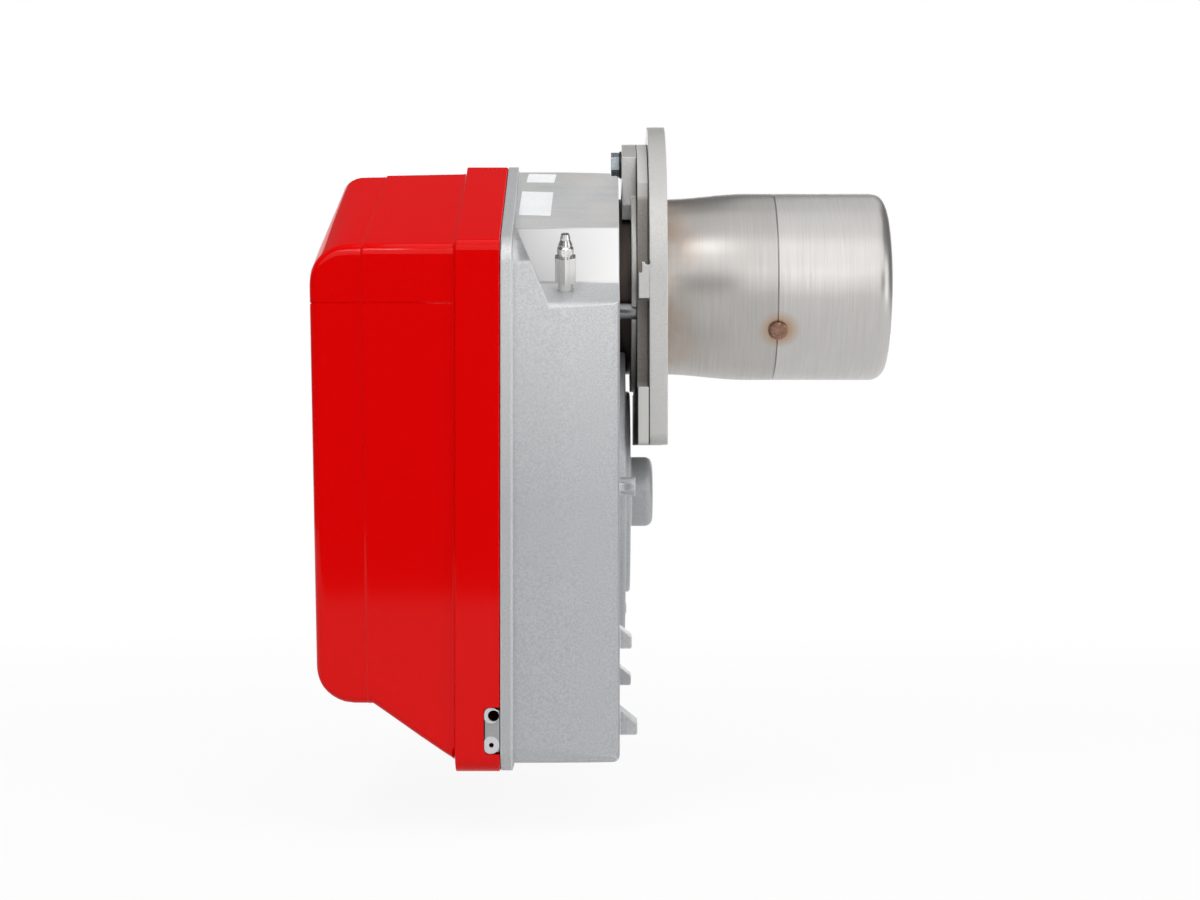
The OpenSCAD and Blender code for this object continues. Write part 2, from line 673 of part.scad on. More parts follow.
// Forward-curved fan wheel, open to the motor side
module blade(a) {
    rotate([0, 0, a]) polygon(concat(
        [for (i = [0:4]) let (t = i / 4) [fan_r - 13 + 12 * t, 5.5 * (1 - t) * (1 - t) - 1.2]],
        [for (i = [4:-1:0]) let (t = i / 4) [fan_r - 13 + 12 * t, 5.5 * (1 - t) * (1 - t)]]
    ));
}
module fan_wheel() color([0.72, 0.73, 0.74]) {
    difference() {
        union() {
            turned_x(0, fan_z) polygon([
                [fan_x, 0], [fan_x, fan_r], [fan_x - 1.5, fan_r], [fan_x - 1.5, hub_r + 4],
                [fan_x - 4, hub_r], [fan_x - 24, hub_r], [fan_x - 24, 0]
            ]);
            turned_x(0, fan_z) polygon([
                [fan_back, fan_r - 14], [fan_back, fan_r], [fan_back + 1.5, fan_r], [fan_back + 1.5, fan_r - 14]
            ]);
            for (i = [0:blades - 1]) translate([0, 0, fan_z]) along_x(fan_back + 1, fan_x - 1)
                blade(360 * i / blades);
        }
        rod_x(fan_x - 25, fan_x + 1, shaft_r, 0, fan_z);
        translate([fan_x - 17, 0, fan_z]) cylinder(h = hub_r + 2, r = 2);
    }
}
module fan_screw() color([0.20, 0.20, 0.22]) {
    translate([fan_x - 17, 0, fan_z + shaft_r]) cylinder(h = hub_r - shaft_r - 1, r = 2);
}

// Oil pump on the motor's rear end, driven through a coupling
module pump_coupling() color([0.12, 0.12, 0.13]) {
    difference() {
        rod_x(pump_x + 1, motor_end - 1, 9, 0, fan_z);
        rod_x(motor_end - 6, motor_end, shaft_r, 0, fan_z);
    }
    rod_x(pump_x - 14, pump_x + 2, shaft_r - 1, 0, fan_z);
}
port_x = pump_x - pump_len / 2;
port_spots = [-14, 14];
module pump_body() color([0.58, 0.59, 0.60]) {
    half = pump_w / 2;
    difference() {
        union() {
            along_x(pump_x - pump_len, pump_x) translate([0, fan_z]) polygon(soft([
                [-half, -half, 6], [half, -half, 6], [half, half, 6], [-half, half, 6]], 3));
            rod_x(pump_x - 1, motor_end, 15, 0, fan_z);
        }
        rod_x(pump_x, motor_end + 1, 11.5, 0, fan_z);
        rod_x(pump_x - 15, pump_x + 1, shaft_r - 1 + run, 0, fan_z);
        for (y = port_spots) translate([port_x, y, fan_z - half - 1]) cylinder(h = 13, r = port_r);
        translate([port_x - 1, 0, fan_z + half - 8]) cylinder(h = 9, r = 6 + 0.02);
        along_y(-half - 1, -half + 8) translate([port_x, fan_z + 10]) circle(r = 3 + run);
        along_y(half - 8, half + 1) translate([port_x, fan_z + 10]) circle(r = 2 + run);
        for (s = pump_screw_spots) rod_x(pump_x - pump_len - 1, pump_x - pump_len + 9, 2.1, s[0], s[1]);
    }
}
pump_screw_spots = [for (a = [45:90:315]) [32 * pump_w / 56 * cos(a), fan_z + 32 * pump_w / 56 * sin(a)]];
module pump_cover() color([0.64, 0.65, 0.66]) {
    half = pump_w / 2 - 1;
    difference() {
        union() {
            along_x(pump_tail, pump_tail + pump_cover_t) translate([0, fan_z]) polygon(soft([
                [-half, -half, 6], [half, -half, 6], [half, half, 6], [-half, half, 6]], 3));
            rod_x(pump_tail - 2, pump_tail + 1, 12, 0, fan_z);
        }
        for (s = pump_screw_spots) rod_x(pump_tail - 1, pump_tail + pump_cover_t + 1, 2.1, s[0], s[1]);
    }
}
module pump_screws() color([0.35, 0.36, 0.38]) {
    for (s = pump_screw_spots) {
        rod_x(pump_tail - 3, pump_tail, 3.6, s[0], s[1]);
        rod_x(pump_tail, pump_tail + pump_cover_t + 8, 2, s[0], s[1]);
    }
}
pump_top = fan_z + pump_w / 2;
module valve_stem() color([0.72, 0.70, 0.62]) {
    translate([port_x - 1, 0, pump_top - 7]) cylinder(h = 7 + coil_h + 8, r = 6);
}
module solenoid_coil() color([0.10, 0.10, 0.11]) {
    difference() {
        block(port_x - 14, port_x + 12, -15, 15, pump_top, pump_top + coil_h);
        translate([port_x - 1, 0, pump_top - 1]) cylinder(h = coil_h + 2, r = 6 + 0.02);
    }
}
module coil_nut() color([0.70, 0.71, 0.73]) {
    difference() {
        translate([port_x - 1, 0, pump_top + coil_h]) cylinder(h = 5, r = 9, $fn = 6);
        translate([port_x - 1, 0, pump_top + coil_h - 1]) cylinder(h = 7, r = 6 + 0.02);
    }
}

// Control box with its base, capacitor, photocell and plug socket
module control_base() color([0.16, 0.16, 0.17]) {
    block(plate_x - 20, plate_x, box_y - box_w / 2, box_y + box_w / 2, box_z - box_h / 2, box_z + box_h / 2);
}
module control_box() color([0.13, 0.13, 0.15]) {
    difference() {
        along_x(box_x, plate_x - 20) translate([box_y, box_z]) polygon(soft([
            [-box_w / 2 + 2, -box_h / 2 + 2, 4], [box_w / 2 - 2, -box_h / 2 + 2, 4],
            [box_w / 2 - 2, box_h / 2 - 2, 4], [-box_w / 2 + 2, box_h / 2 - 2, 4]], 3));
        rod_x(box_x - 1, box_x + 10, button_r + gap, box_y, box_z + 20);
    }
}
module reset_button() color([0.85, 0.10, 0.08]) {
    rod_x(back_x + 8.5, box_x + 6, button_r, box_y, box_z + 20);
}
module capacitor() color([0.80, 0.80, 0.78]) {
    translate([plate_x - 19, cap_y, cap_z - 28]) cylinder(h = 56, r = 16);
}
module capacitor_clip() color([0.30, 0.31, 0.33]) {
    difference() {
        union() {
            translate([plate_x - 19, cap_y, cap_z - 6]) cylinder(h = 12, r = 17.5);
            block(plate_x - 19, plate_x, cap_y - 17.5, cap_y + 17.5, cap_z - 6, cap_z + 6);
        }
        translate([plate_x - 19, cap_y, cap_z - 7]) cylinder(h = 14, r = 16 + run);
    }
}
module photocell() color([0.12, 0.12, 0.13]) {
    rod_x(plate_x - 28, plate_x, 9, photo_y, 14);
    rod_x(plate_x - 10, plate_x, 13, photo_y, 14);
}
module plug_socket() color([0.14, 0.14, 0.16]) {
    difference() {
        block(plate_x - 30, plate_x, plug_y - 23, plug_y + 23, -36, -8);
        block(plate_x - 31, plate_x - 12, plug_y - 18, plug_y + 18, -32, -12);
    }
}

// Ignition transformer with its two bushings
bushing_spots = [[coil_y - 16, coil_z + 16], [coil_y + 16, coil_z + 16]];
module ignition_transformer() color([0.20, 0.20, 0.22]) {
    along_x(coil_x, plate_x) translate([coil_y, coil_z]) polygon(soft([
        [-coil_w / 2, -coil_box_h / 2, 4], [coil_w / 2, -coil_box_h / 2, 4],
        [coil_w / 2, coil_box_h / 2, 4], [-coil_w / 2, coil_box_h / 2, 4]], 3));
}
module transformer_bushings() color([0.86, 0.84, 0.78]) {
    for (p = bushing_spots) rod_x(coil_x - bushing_len, coil_x, 5, p[0], p[1]);
}

// Head cover: closes the plate behind the tube and guides the nozzle line and the screw
module head_cover() color([0.60, 0.61, 0.62]) {
    difference() {
        union() {
            rod_x(plate_x - 3, plate_x, cover_disc_r);
            rod_x(plate_x - 18, plate_x - 2, line_r + 4);
            rod_x(plate_x - 14, plate_x - 2, adjust_r + 4, 0, screw_z);
        }
        rod_x(plate_x - 19, plate_x + 1, line_r + run);
        rod_x(plate_x - 15, plate_x - 2, adjust_r + run, 0, screw_z);
        for (s = [-1, 1]) rod_x(plate_x - 4, plate_x + 1, lead_r + 0.6, s * lead_y, lead_z);
    }
}
module head_screw() color([0.66, 0.60, 0.36]) {
    rod_x(block_x - 16, plate_x - 3, adjust_r, 0, screw_z);
    hex_x(block_x - 22, block_x - 16, 12, 0, screw_z);
}

// Nozzle line with its sliding block, nozzle, flame disc and electrodes
module nozzle_line() color([0.72, 0.60, 0.35]) {
    difference() {
        union() {
            rod_x(block_x + block_len - 1, line_x, line_r);
            along_x(block_x, block_x + block_len) polygon(soft([
                [-9, -9, 3], [9, -9, 3], [9, screw_z + 7, 3], [-9, screw_z + 7, 3]], 3));
        }
        rod_x(block_x - 1, block_x + block_len + 1, adjust_r + run, 0, screw_z);
        rod_x(block_x - 1, block_x + 20, 3 + run);
    }
}
module nozzle() color([0.80, 0.70, 0.42]) {
    hex_x(line_x, line_x + 8, 14);
    turned_x() polygon([[line_x + 8, 0], [line_x + 8, 6], [line_x + 12, 3], [line_x + 12, 0]]);
}
module flame_disc() color([0.45, 0.42, 0.40]) {
    difference() {
        turned_x() polygon([
            [spark_x - 1, 11], [spark_x + 1, 11], [spark_x + 1, disc_r], [spark_x - 3, disc_r],
            [spark_x - 3, disc_r - 1.5], [spark_x - 1, disc_r - 1.5]
        ]);
        for (i = [0:disc_slots - 1]) rotate([360 * i / disc_slots, 0, 0]) rotate([0, 0, 0])
            block(spark_x - 2, spark_x + 2, -1, 1, 18, disc_r - 6);
    }
    for (a = [30, 150, 270]) rotate([a, 0, 0]) {
        block(line_x - 8, spark_x - 0.9, 13, 14.2, -3, 3);
        block(line_x - 8, line_x - 6, line_r + 1, 14, -3, 3);
    }
    difference() {
        rod_x(line_x - 10, line_x - 4, line_r + 2);
        rod_x(line_x - 11, line_x - 3, line_r + 0.02);
    }
}
module electrode_clamp() color([0.60, 0.61, 0.62]) {
    difference() {
        along_x(line_x - 22, line_x - 18) polygon(soft([
            [-lead_y - 8, lead_z - 7, 3], [lead_y + 8, lead_z - 7, 3], [lead_y + 8, 2, 3],
            [9, 9, 3], [-9, 9, 3], [-lead_y - 8, 2, 3]], 3));
        rod_x(line_x - 23, line_x - 17, line_r + 0.02);
        for (s = [-1, 1]) rod_x(line_x - 23, line_x - 17, ceramic_r + 0.02, s * lead_y, lead_z);
    }
}
module electrodes() color([0.90, 0.88, 0.82]) {
    for (s = [-1, 1]) {
        rod_x(line_x - 40, line_x + 2, ceramic_r, s * lead_y, lead_z);
        rod_x(line_x + 1, line_x + 5, wire_r, s * lead_y, lead_z);
        translate([line_x + 5, s * lead_y, lead_z]) {
            sphere(r = wire_r);
            rotate([0, 0, -s * 52]) rotate([0, 90, 0]) cylinder(h = lead_y + 0.5, r = wire_r);
        }
    }
}

// Ignition leads from the transformer, along the nozzle line, to the electrodes
lead_paths = [
    [[boot_x - 16, bushing_spots[0][0], bushing_spots[0][1]], [-176, 84, -160], [-178, 76, -120],
     [-170, 60, -55], [-157, 34, -18], [-142, lead_y + 2, lead_z], [-128, lead_y, lead_z]],
    [[boot_x - 16, bushing_spots[1][0], bushing_spots[1][1]], [-177, 114, -150], [-180, 100, -90],
     [-172, 62, -22], [-165, 28, 6], [-160, 0, 12], [-149, -17, 9], [-135, -lead_y - 1.5, -4],
     [-128, -lead_y, lead_z]]
];
module ignition_leads() color([0.12, 0.12, 0.13]) {
    for (i = [0, 1]) {
        s = i == 0 ? 1 : -1;
        p = bushing_spots[i];
        cord(lead_paths[i], lead_r);
        rod_x(-128.5, line_x - 40, lead_r, s * lead_y, lead_z);
        difference() {
            rod_x(boot_x - 18.5, boot_x, 8, p[0], p[1]);
            rod_x(boot_x - 13.7, boot_x + 1, 5 + gap, p[0], p[1]);
        }
    }
}

// Copper oil pipe from the pump to the nozzle line, and the pipe to the jack
oil_path = [
    [port_x, -pump_w / 2 + 7, fan_z + 10], [port_x, -pump_w / 2, fan_z + 10],
    [port_x, -pump_w / 2 - 7, fan_z + 10], [port_x - 1, -43, -102], [port_x + 2, -46, -60],
    [-152, -32, -14], [-146, -12, -2], [-138, 0, 0], [-132, 0, 0]
];
jack_path = [
    [port_x, pump_w / 2 - 7, fan_z + 10], [port_x, pump_w / 2, fan_z + 10],
    [port_x, pump_w / 2 + 7, fan_z + 10], [port_x + 14, 54, -116], [-118, 72, -134],
    [jack_x - 4, jack_y - 4, jack_low - 7], [jack_x, jack_y, jack_low - 4],
    [jack_x, jack_y, jack_low], [jack_x, jack_y, jack_low + 2]
];
module oil_pipe() color([0.72, 0.45, 0.28]) {
    cord(oil_path, 3, 4, 10);
    rod_x(-132.5, block_x + 12, 3);
}
module jack_pipe() color([0.72, 0.45, 0.28]) {
    cord(jack_path, 2, 4, 8);
}

// Pressure-side air damper and the oil jack that opens it
module damper_flap() color([0.60, 0.61, 0.63]) {
    difference() {
        union() {
            block(plate_front + 1, inner_x - 5, throat_y - flap_w / 2, throat_y + flap_w / 2,
                throat_z - 0.75, throat_z + 0.75);
            rod_x(plate_front + 1, inner_x - 5, shaft_r + 2, throat_y, throat_z);
        }
        rod_x(plate_front, inner_x - 4, shaft_r, throat_y, throat_z);
    }
}
module damper_shaft() color([0.70, 0.71, 0.73]) {
    rod_x(lever_x - 3, inner_x - 1, shaft_r, throat_y, throat_z);
}
module damper_lever() color([0.60, 0.61, 0.63]) {
    translate([0, throat_y, throat_z]) rotate([-lever_rest, 0, 0]) {
        difference() {
            union() {
                rod_x(lever_x - 3, lever_x, shaft_r + 4);
                rod_x(lever_x - 3, lever_x, pin_r + 2.5, lever_len);
                block(lever_x - 3, lever_x, 0, lever_len, -3.5, 3.5);
            }
            rod_x(lever_x - 4, lever_x + 1, shaft_r);
        }
        rod_x(jack_x - 4, lever_x - 2, pin_r, lever_len);
    }
}
module jack_body() color([0.62, 0.63, 0.64]) {
    difference() {
        union() {
            translate([jack_x, jack_y, jack_low]) cylinder(h = jack_len, r = 9);
            block(jack_x, plate_x, jack_y - 9, jack_y + 9, jack_low + 6, jack_low + jack_len - 6);
        }
        translate([jack_x, jack_y, jack_low + 6]) cylinder(h = jack_len, r = 3 + run);
        translate([jack_x, jack_y, jack_low - 1]) cylinder(h = 4, r = 2 + run);
    }
}
module jack_rod() color([0.75, 0.76, 0.78]) {
    translate([jack_x, jack_y, jack_low + 8]) cylinder(h = pin_z - pin_r - gap - 2 - jack_low - 8, r = 3);
    translate([jack_x, jack_y, pin_z - pin_r - gap - 2.5]) cylinder(h = 2.5, r = 3.6);
}

// Red hood, open to the front, over motor, pump and controls
hood_profile = [
    [band_x, hood_floor, 0], [band_x, roof_z - 4, 0], [panel_x, roof_z - 5.3, 0],
    [back_x + top_lean, roof_z - 6.6, back_round], [back_x, wide_z, 16],
    [back_x + heel_lean, heel_z, 20], [panel_x + 3, heel_z, 1]
];
hood_plan = [
    [0, -half_w + 4, side_round], [band_x - back_x, -half_w + hood_step, 0],
    [band_x - back_x, half_w - hood_step, 0], [0, half_w - 4, side_round]
];
slope_turn = atan2(roof_drop, half_w - roof_half);
rear_normal = unit([6.6 + wide_z - roof_z, 0, top_lean]);
function hood_back(z) = back_x + (z < wide_z ? heel_lean * (wide_z - z) / (wide_z - heel_z)
    : top_lean * (z - wide_z) / (roof_z - 6.6 - wide_z));

// Everything below one sloping roof and in front of the leaning rear, their edge rounded
module under_slope(side, g) {
    n1 = [0, side * sin(slope_turn), cos(slope_turn)];
    c = n1 * rear_normal;
    n2 = unit(rear_normal - c * n1);
    e = cross(n1, n2);
    s = rear_normal * n2;
    h1 = roof_half * sin(slope_turn) + roof_z * cos(slope_turn) - hood_step - 0.8 - g;
    h2 = rear_normal * [back_x, 0, wide_z] - g;
    corner = [h1, (h2 - h1 * c) / s];
    far = 3 * floor_z;
    multmatrix([[n1[0], n2[0], e[0], 0], [n1[1], n2[1], e[1], 0], [n1[2], n2[2], e[2], 0], [0, 0, 0, 1]])
        linear_extrude(2 * far, center = true) polygon(soft([
            [corner[0], corner[1], slope_round - g], [corner[0] - far * s, corner[1] + far * c, 0],
            [-far, -far, 0], [corner[0], -far, 0]], 6));
}
module hood_form(g) {
    intersection() {
        union() {
            along_x(panel_x, band_x + 0.1) polygon(soft(inset(rim_outline, hood_step + g)));
            along_x(back_x, panel_x + 0.1) polygon(soft(inset(rim_outline, hood_step + 0.8 + g)));
        }
        along_y(-half_w, half_w) polygon([for (p = soft(inset(hood_profile, g), 5))
            [p[0] > band_x - g - 0.01 ? band_x + 1 : p[0], p[1]]]);
        translate([back_x, 0, wide_z]) rotate([0, -atan2(heel_lean, wide_z - heel_z), 0])
            linear_extrude(3 * floor_z, center = true)
                polygon([for (p = soft(inset(hood_plan, g), 5))
                    [p[0] > band_x - back_x - g - 0.01 ? band_x - back_x + 12 : p[0], p[1]]]);
        under_slope(1, g);
        under_slope(-1, g);
    }
}
module hood() color([0.80, 0.02, 0.02]) {
    difference() {
        union() {
            difference() {
                union() {
                    hood_form(0);
                    along_x(band_x, rim_x - gap) polygon(soft(rim_outline));
                }
                hood_form(hood_wall);
                along_x(band_x + hood_wall, rim_x) polygon(soft(inset(rim_outline, hood_wall)));
                along_x(band_x - 1, band_x + hood_wall + 1) polygon(soft(inset(rim_outline, hood_step + hood_wall)));
            }
            for (p = post_spots) rod_x(hood_back(p[1]) + 2, back_x + 11, 8, p[0], p[1]);
        }
        block(panel_x - 12, band_x - 4, -30, 30, floor0 - 1, heel_z + 8);
        rod_x(back_x - 1, back_x + 12, button_r + 2, box_y, box_z + 20);
        for (p = post_spots) {
            rod_x(back_x - 1, back_x + 12, screw_r + run, p[0], p[1]);
            rod_x(back_x - 1, hood_back(p[1]) + 1, 5, p[0], p[1]);
        }
        intersection() {
            along_y(-half_w - 1, -half_w + 12) notch_shape(0);
            block(rim_x - 20, rim_x, -half_w - 1, -half_w + 12, floor0, 0);
        }
    }
}
module hood_screws() color([0.30, 0.31, 0.33]) {
    for (p = post_spots) {
        rod_x(hood_back(p[1]) - 1.8, hood_back(p[1]) + 1, 4.5, p[0], p[1]);
        rod_x(hood_back(p[1]), back_x + 24, screw_r, p[0], p[1]);
    }
}
module hood_posts() color([0.62, 0.63, 0.65]) {
    for (p = post_spots) difference() {
        rod_x(back_x + 11 + gap, plate_x, 5, p[0], p[1]);
        rod_x(back_x + 10, back_x + 28, screw_r + 0.1, p[0], p[1]);
    }
}

boiler_flange();
flange_spacer();
burner_flange();
flange_bolt();
flange_washer();
blast_tube();
tube_head();
tube_screws();
fan_housing();
volute_plate();
plate_screws();
test_nipple();
grommet_plate();
cable_grommets();
hood_posts();
motor_front_bell();
motor_rear_bell();
motor_shell();
stator();
bearings();
motor_studs();
pump_body();
pump_cover();
pump_screws();
valve_stem();
solenoid_coil();
coil_nut();
capacitor();
capacitor_clip();
control_base();
control_box();
ignition_transformer();
transformer_bushings();
head_cover();
oil_pipe();
jack_pipe();
jack_body();
photocell();
plug_socket();
fan_wheel();
fan_screw();
motor_shaft();
rotor_core();
pump_coupling();
damper_flap();
damper_shaft();
damper_lever();
jack_rod();
reset_button();
nozzle_line();
nozzle();
flame_disc();
electrode_clamp();
electrodes();
ignition_leads();
head_screw();
hood();
hood_screws();
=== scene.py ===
"""Looks of a compact oil burner: red hood, cast fan housing, boiler flange and steel blast tube.

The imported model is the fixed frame. This script gives each piece its finish, rebuilds the
pieces whose surface needs more than the solid has, and sets the light and the camera.
"""

from __future__ import annotations

import json
import logging
import math
from dataclasses import dataclass
from enum import Enum
from typing import Iterable, Sequence

import bmesh
import bpy
from mathutils import Matrix, Vector
from mathutils.bvhtree import BVHTree

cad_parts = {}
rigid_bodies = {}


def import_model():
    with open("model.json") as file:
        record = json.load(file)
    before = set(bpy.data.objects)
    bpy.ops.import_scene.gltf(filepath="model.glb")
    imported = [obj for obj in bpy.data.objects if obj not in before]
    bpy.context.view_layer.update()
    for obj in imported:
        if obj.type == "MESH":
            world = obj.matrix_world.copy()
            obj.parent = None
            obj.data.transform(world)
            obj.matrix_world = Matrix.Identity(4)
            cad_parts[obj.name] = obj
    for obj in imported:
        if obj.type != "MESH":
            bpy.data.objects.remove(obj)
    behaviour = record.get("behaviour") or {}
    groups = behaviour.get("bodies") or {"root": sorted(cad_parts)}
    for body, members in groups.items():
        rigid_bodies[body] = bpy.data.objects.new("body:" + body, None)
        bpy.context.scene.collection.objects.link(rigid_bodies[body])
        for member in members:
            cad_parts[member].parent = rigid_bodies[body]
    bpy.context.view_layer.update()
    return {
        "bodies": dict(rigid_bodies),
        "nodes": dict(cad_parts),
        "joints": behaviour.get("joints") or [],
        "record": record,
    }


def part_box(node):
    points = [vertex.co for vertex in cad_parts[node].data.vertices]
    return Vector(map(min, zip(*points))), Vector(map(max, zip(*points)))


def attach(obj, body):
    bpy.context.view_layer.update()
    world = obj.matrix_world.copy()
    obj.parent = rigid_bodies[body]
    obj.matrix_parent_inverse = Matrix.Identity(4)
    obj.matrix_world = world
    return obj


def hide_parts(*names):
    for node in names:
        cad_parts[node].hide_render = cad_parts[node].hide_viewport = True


LOG = logging.getLogger("burner")
MM = 0.001
PHOTO_WIDTH, PHOTO_HEIGHT = 1200, 900
SENSOR = 36.0

# Copies of the nodes: points nearer than this are one, faces that turn less than this are one,
# and edges sharper than this are rounded.
MERGE = 0.02 * MM
FLAT = math.radians(0.6)
SHARP = math.radians(28.0)

Colour = tuple[float, float, float]
Point = tuple[float, float, float]
Pair = tuple[float, float]
BMesh = bmesh.types.BMesh
Node = bpy.types.Node


class Kind(Enum):
    """How a finish varies over the surface."""

    GRAIN = "grain"
    CAST = "cast"
    SPACER = "spacer"
    BRUSHED = "brushed"
    HEAT = "heat"


class Tree:
    """Adds and links the nodes of one node tree."""

    def __init__(self, tree: bpy.types.NodeTree) -> None:
        """Args: tree: the tree that is filled."""
        self.tree = tree

    def add(self, kind: str, setup: dict[str, object] | None = None, **values: object) -> Node:
        """Adds a node and sets its properties and inputs.

        Args:
            kind: the node's type.
            setup: properties of the node itself.
            values: input values, with underscores for spaces.
        Returns:
            The new node.
        """
        node = self.tree.nodes.new(kind)
        for name, value in (setup or {}).items():
            setattr(node, name, value)
        for name, value in values.items():
            node.inputs[name.replace("_", " ")].default_value = value
        return node

    def link(self, a: Node, out: str | int, b: Node, into: str | int) -> None:
        """Links one output to one input."""
        self.tree.links.new(a.outputs[out], b.inputs[into])


class Graph(Tree):
    """The shader nodes of one material."""

    def __init__(self, material: bpy.types.Material, shader: str = "ShaderNodeBsdfPrincipled") -> None:
        """Clears the material and gives it a shader.

        Args:
            material: the material whose tree is filled.
            shader: type of the shader node at its end.
        """
        material.use_nodes = True
        super().__init__(material.node_tree)
        self.tree.nodes.clear()
        self.shader = self.add(shader)
        self.link(self.shader, 0, self.add("ShaderNodeOutputMaterial"), "Surface")
        self.coords = self.add("ShaderNodeTexCoord")
        self.soft: Node | None = None

    def noise(self, scale: float, detail: float, stretch: Point = (1, 1, 1),
              centre: Point = (0, 0, 0)) -> Node:
        """Adds a noise on object coordinates.

        Args:
            scale: features per metre.
            detail: octaves.
            stretch: scale along each axis.
            centre: shift of the pattern.
        Returns:
            The noise node.
        """
        mapping = self.add("ShaderNodeMapping", Scale=stretch, Location=centre)
        self.link(self.coords, "Object", mapping, "Vector")
        noise = self.add("ShaderNodeTexNoise", Scale=scale, Detail=detail, Roughness=0.6)
        self.link(mapping, "Vector", noise, "Vector")
        return noise

    def ramp(self, source: Node, out: str, low: float, high: float, start: float = 0.0,
             end: float = 1.0) -> Node:
        """Maps a value between two limits to 0 and 1, or to another span.

        Args:
            source: node with the value.
            out: its output's name.
            low: value that becomes the span's start.
            high: value that becomes the span's end.
            start: the span's start.
            end: the span's end.
        Returns:
            The map range node.
        """
        node = self.add("ShaderNodeMapRange", From_Min=low, From_Max=high, To_Min=start, To_Max=end)
        self.link(source, out, node, "Value")
        return node

    def split(self, source: Node, out: str) -> Node:
        """Splits a node's vector output into X, Y and Z."""
        node = self.add("ShaderNodeSeparateXYZ")
        self.link(source, out, node, "Vector")
        return node

    def blend(self, factor: Node, first: Node | Colour, second: Node | Colour) -> Node:
        """Mixes two colours, each a value or a mix node.

        Args:
            factor: node whose first output is the factor.
            first: colour at factor 0.
            second: colour at factor 1.
        Returns:
            The mix node, whose output 2 is the colour.
        """
        node = self.add("ShaderNodeMix", {"data_type": "RGBA"})
        self.link(factor, 0, node, 0)
        for socket, value in ((6, first), (7, second)):
            if isinstance(value, Node):
                self.link(value, 2, node, socket)
            else:
                node.inputs[socket].default_value = (*value, 1)
        return node

    def shade(self, factor: Node, first: Node | Colour, tint: Colour) -> Node:
        """Multiplies a colour by a tint where a factor is high."""
        node = self.blend(factor, first, tint)
        node.blend_type = "MULTIPLY"
        return node

    def maths(self, operation: str, first: Node, second: Node) -> Node:
        """Joins two nodes' first outputs by a maths operation.

        Args:
            operation: Blender's name of the operation.
            first: first node.
            second: second node.
        Returns:
            The maths node.
        """
        node = self.add("ShaderNodeMath", {"operation": operation})
        self.link(first, 0, node, 0)
        self.link(second, 0, node, 1)
        return node

    def all_of(self, first: Node, *others: Node) -> Node:
        """Multiplies masks, so that the result is high where all of them are."""
        for other in others:
            first = self.maths("MULTIPLY", first, other)
        return first

    def either(self, first: Node, second: Node) -> Node:
        """Joins two masks, so that the result is high where one of them is."""
        return self.maths("MAXIMUM", first, second)

    def bump(self, source: Node, out: str, strength: float, depth: float) -> None:
        """Adds a bump from one value to the shader's normal.

        Args:
            source: node with the height.
            out: its output's name.
            strength: the bump's strength, from 0 to 1.
            depth: height of the bump in metres.
        """
        node = self.add("ShaderNodeBump", Strength=strength, Distance=depth)
        self.link(source, out, node, "Height")
        if self.soft:
            self.link(self.soft, "Normal", node, "Normal")
        self.link(node, "Normal", self.shader, "Normal")


# Tones that a finish adds in places, over its own colours: real tints, stains and brushing, a darker rear
# stretch, and painted highlight, painted light and painted shade.
# Painted highlight on rounded edges.
EDGE_HIGHLIGHT: Colour = (0.84, 0.84, 0.83)
ROOF_DARK: Colour = (0.47, 0.475, 0.48)
ROOF_PALE: Colour = (0.60, 0.60, 0.595)
ROOF_WARM: Colour = (0.64, 0.62, 0.58)
# Painted shade towards the housing's bottom.
LOW_SHADE: Colour = (0.78, 0.79, 0.80)
# Painted light on the back walls of the housing's recesses.
RECESS_PAINTED_LIGHT: Colour = (0.73, 0.73, 0.725)
# Painted light on the spacer's top and bottom ends.
SPACER_PAINTED_LIGHT: Colour = (0.60, 0.595, 0.57)
# Painted shade in the gaps beside the spacer.
SPACER_GAP_SHADE: Colour = (0.03, 0.028, 0.026)
BRONZE: Colour = (0.50, 0.37, 0.28)
# Darker tone of the tube's rear stretch behind the joint.
REAR_DARKER: Colour = (0.84, 0.835, 0.825)
SCREW_STAIN: Colour = (0.42, 0.25, 0.13)
# Painted shade on the tube where it runs inside the flange.
TUBE_PAINTED_GAP_SHADE: Colour = (0.05, 0.04, 0.035)
TUBE_SCREW: Point = (0.0655, -0.0478, -0.0285)
SOFT_EDGE_SAMPLES = 6


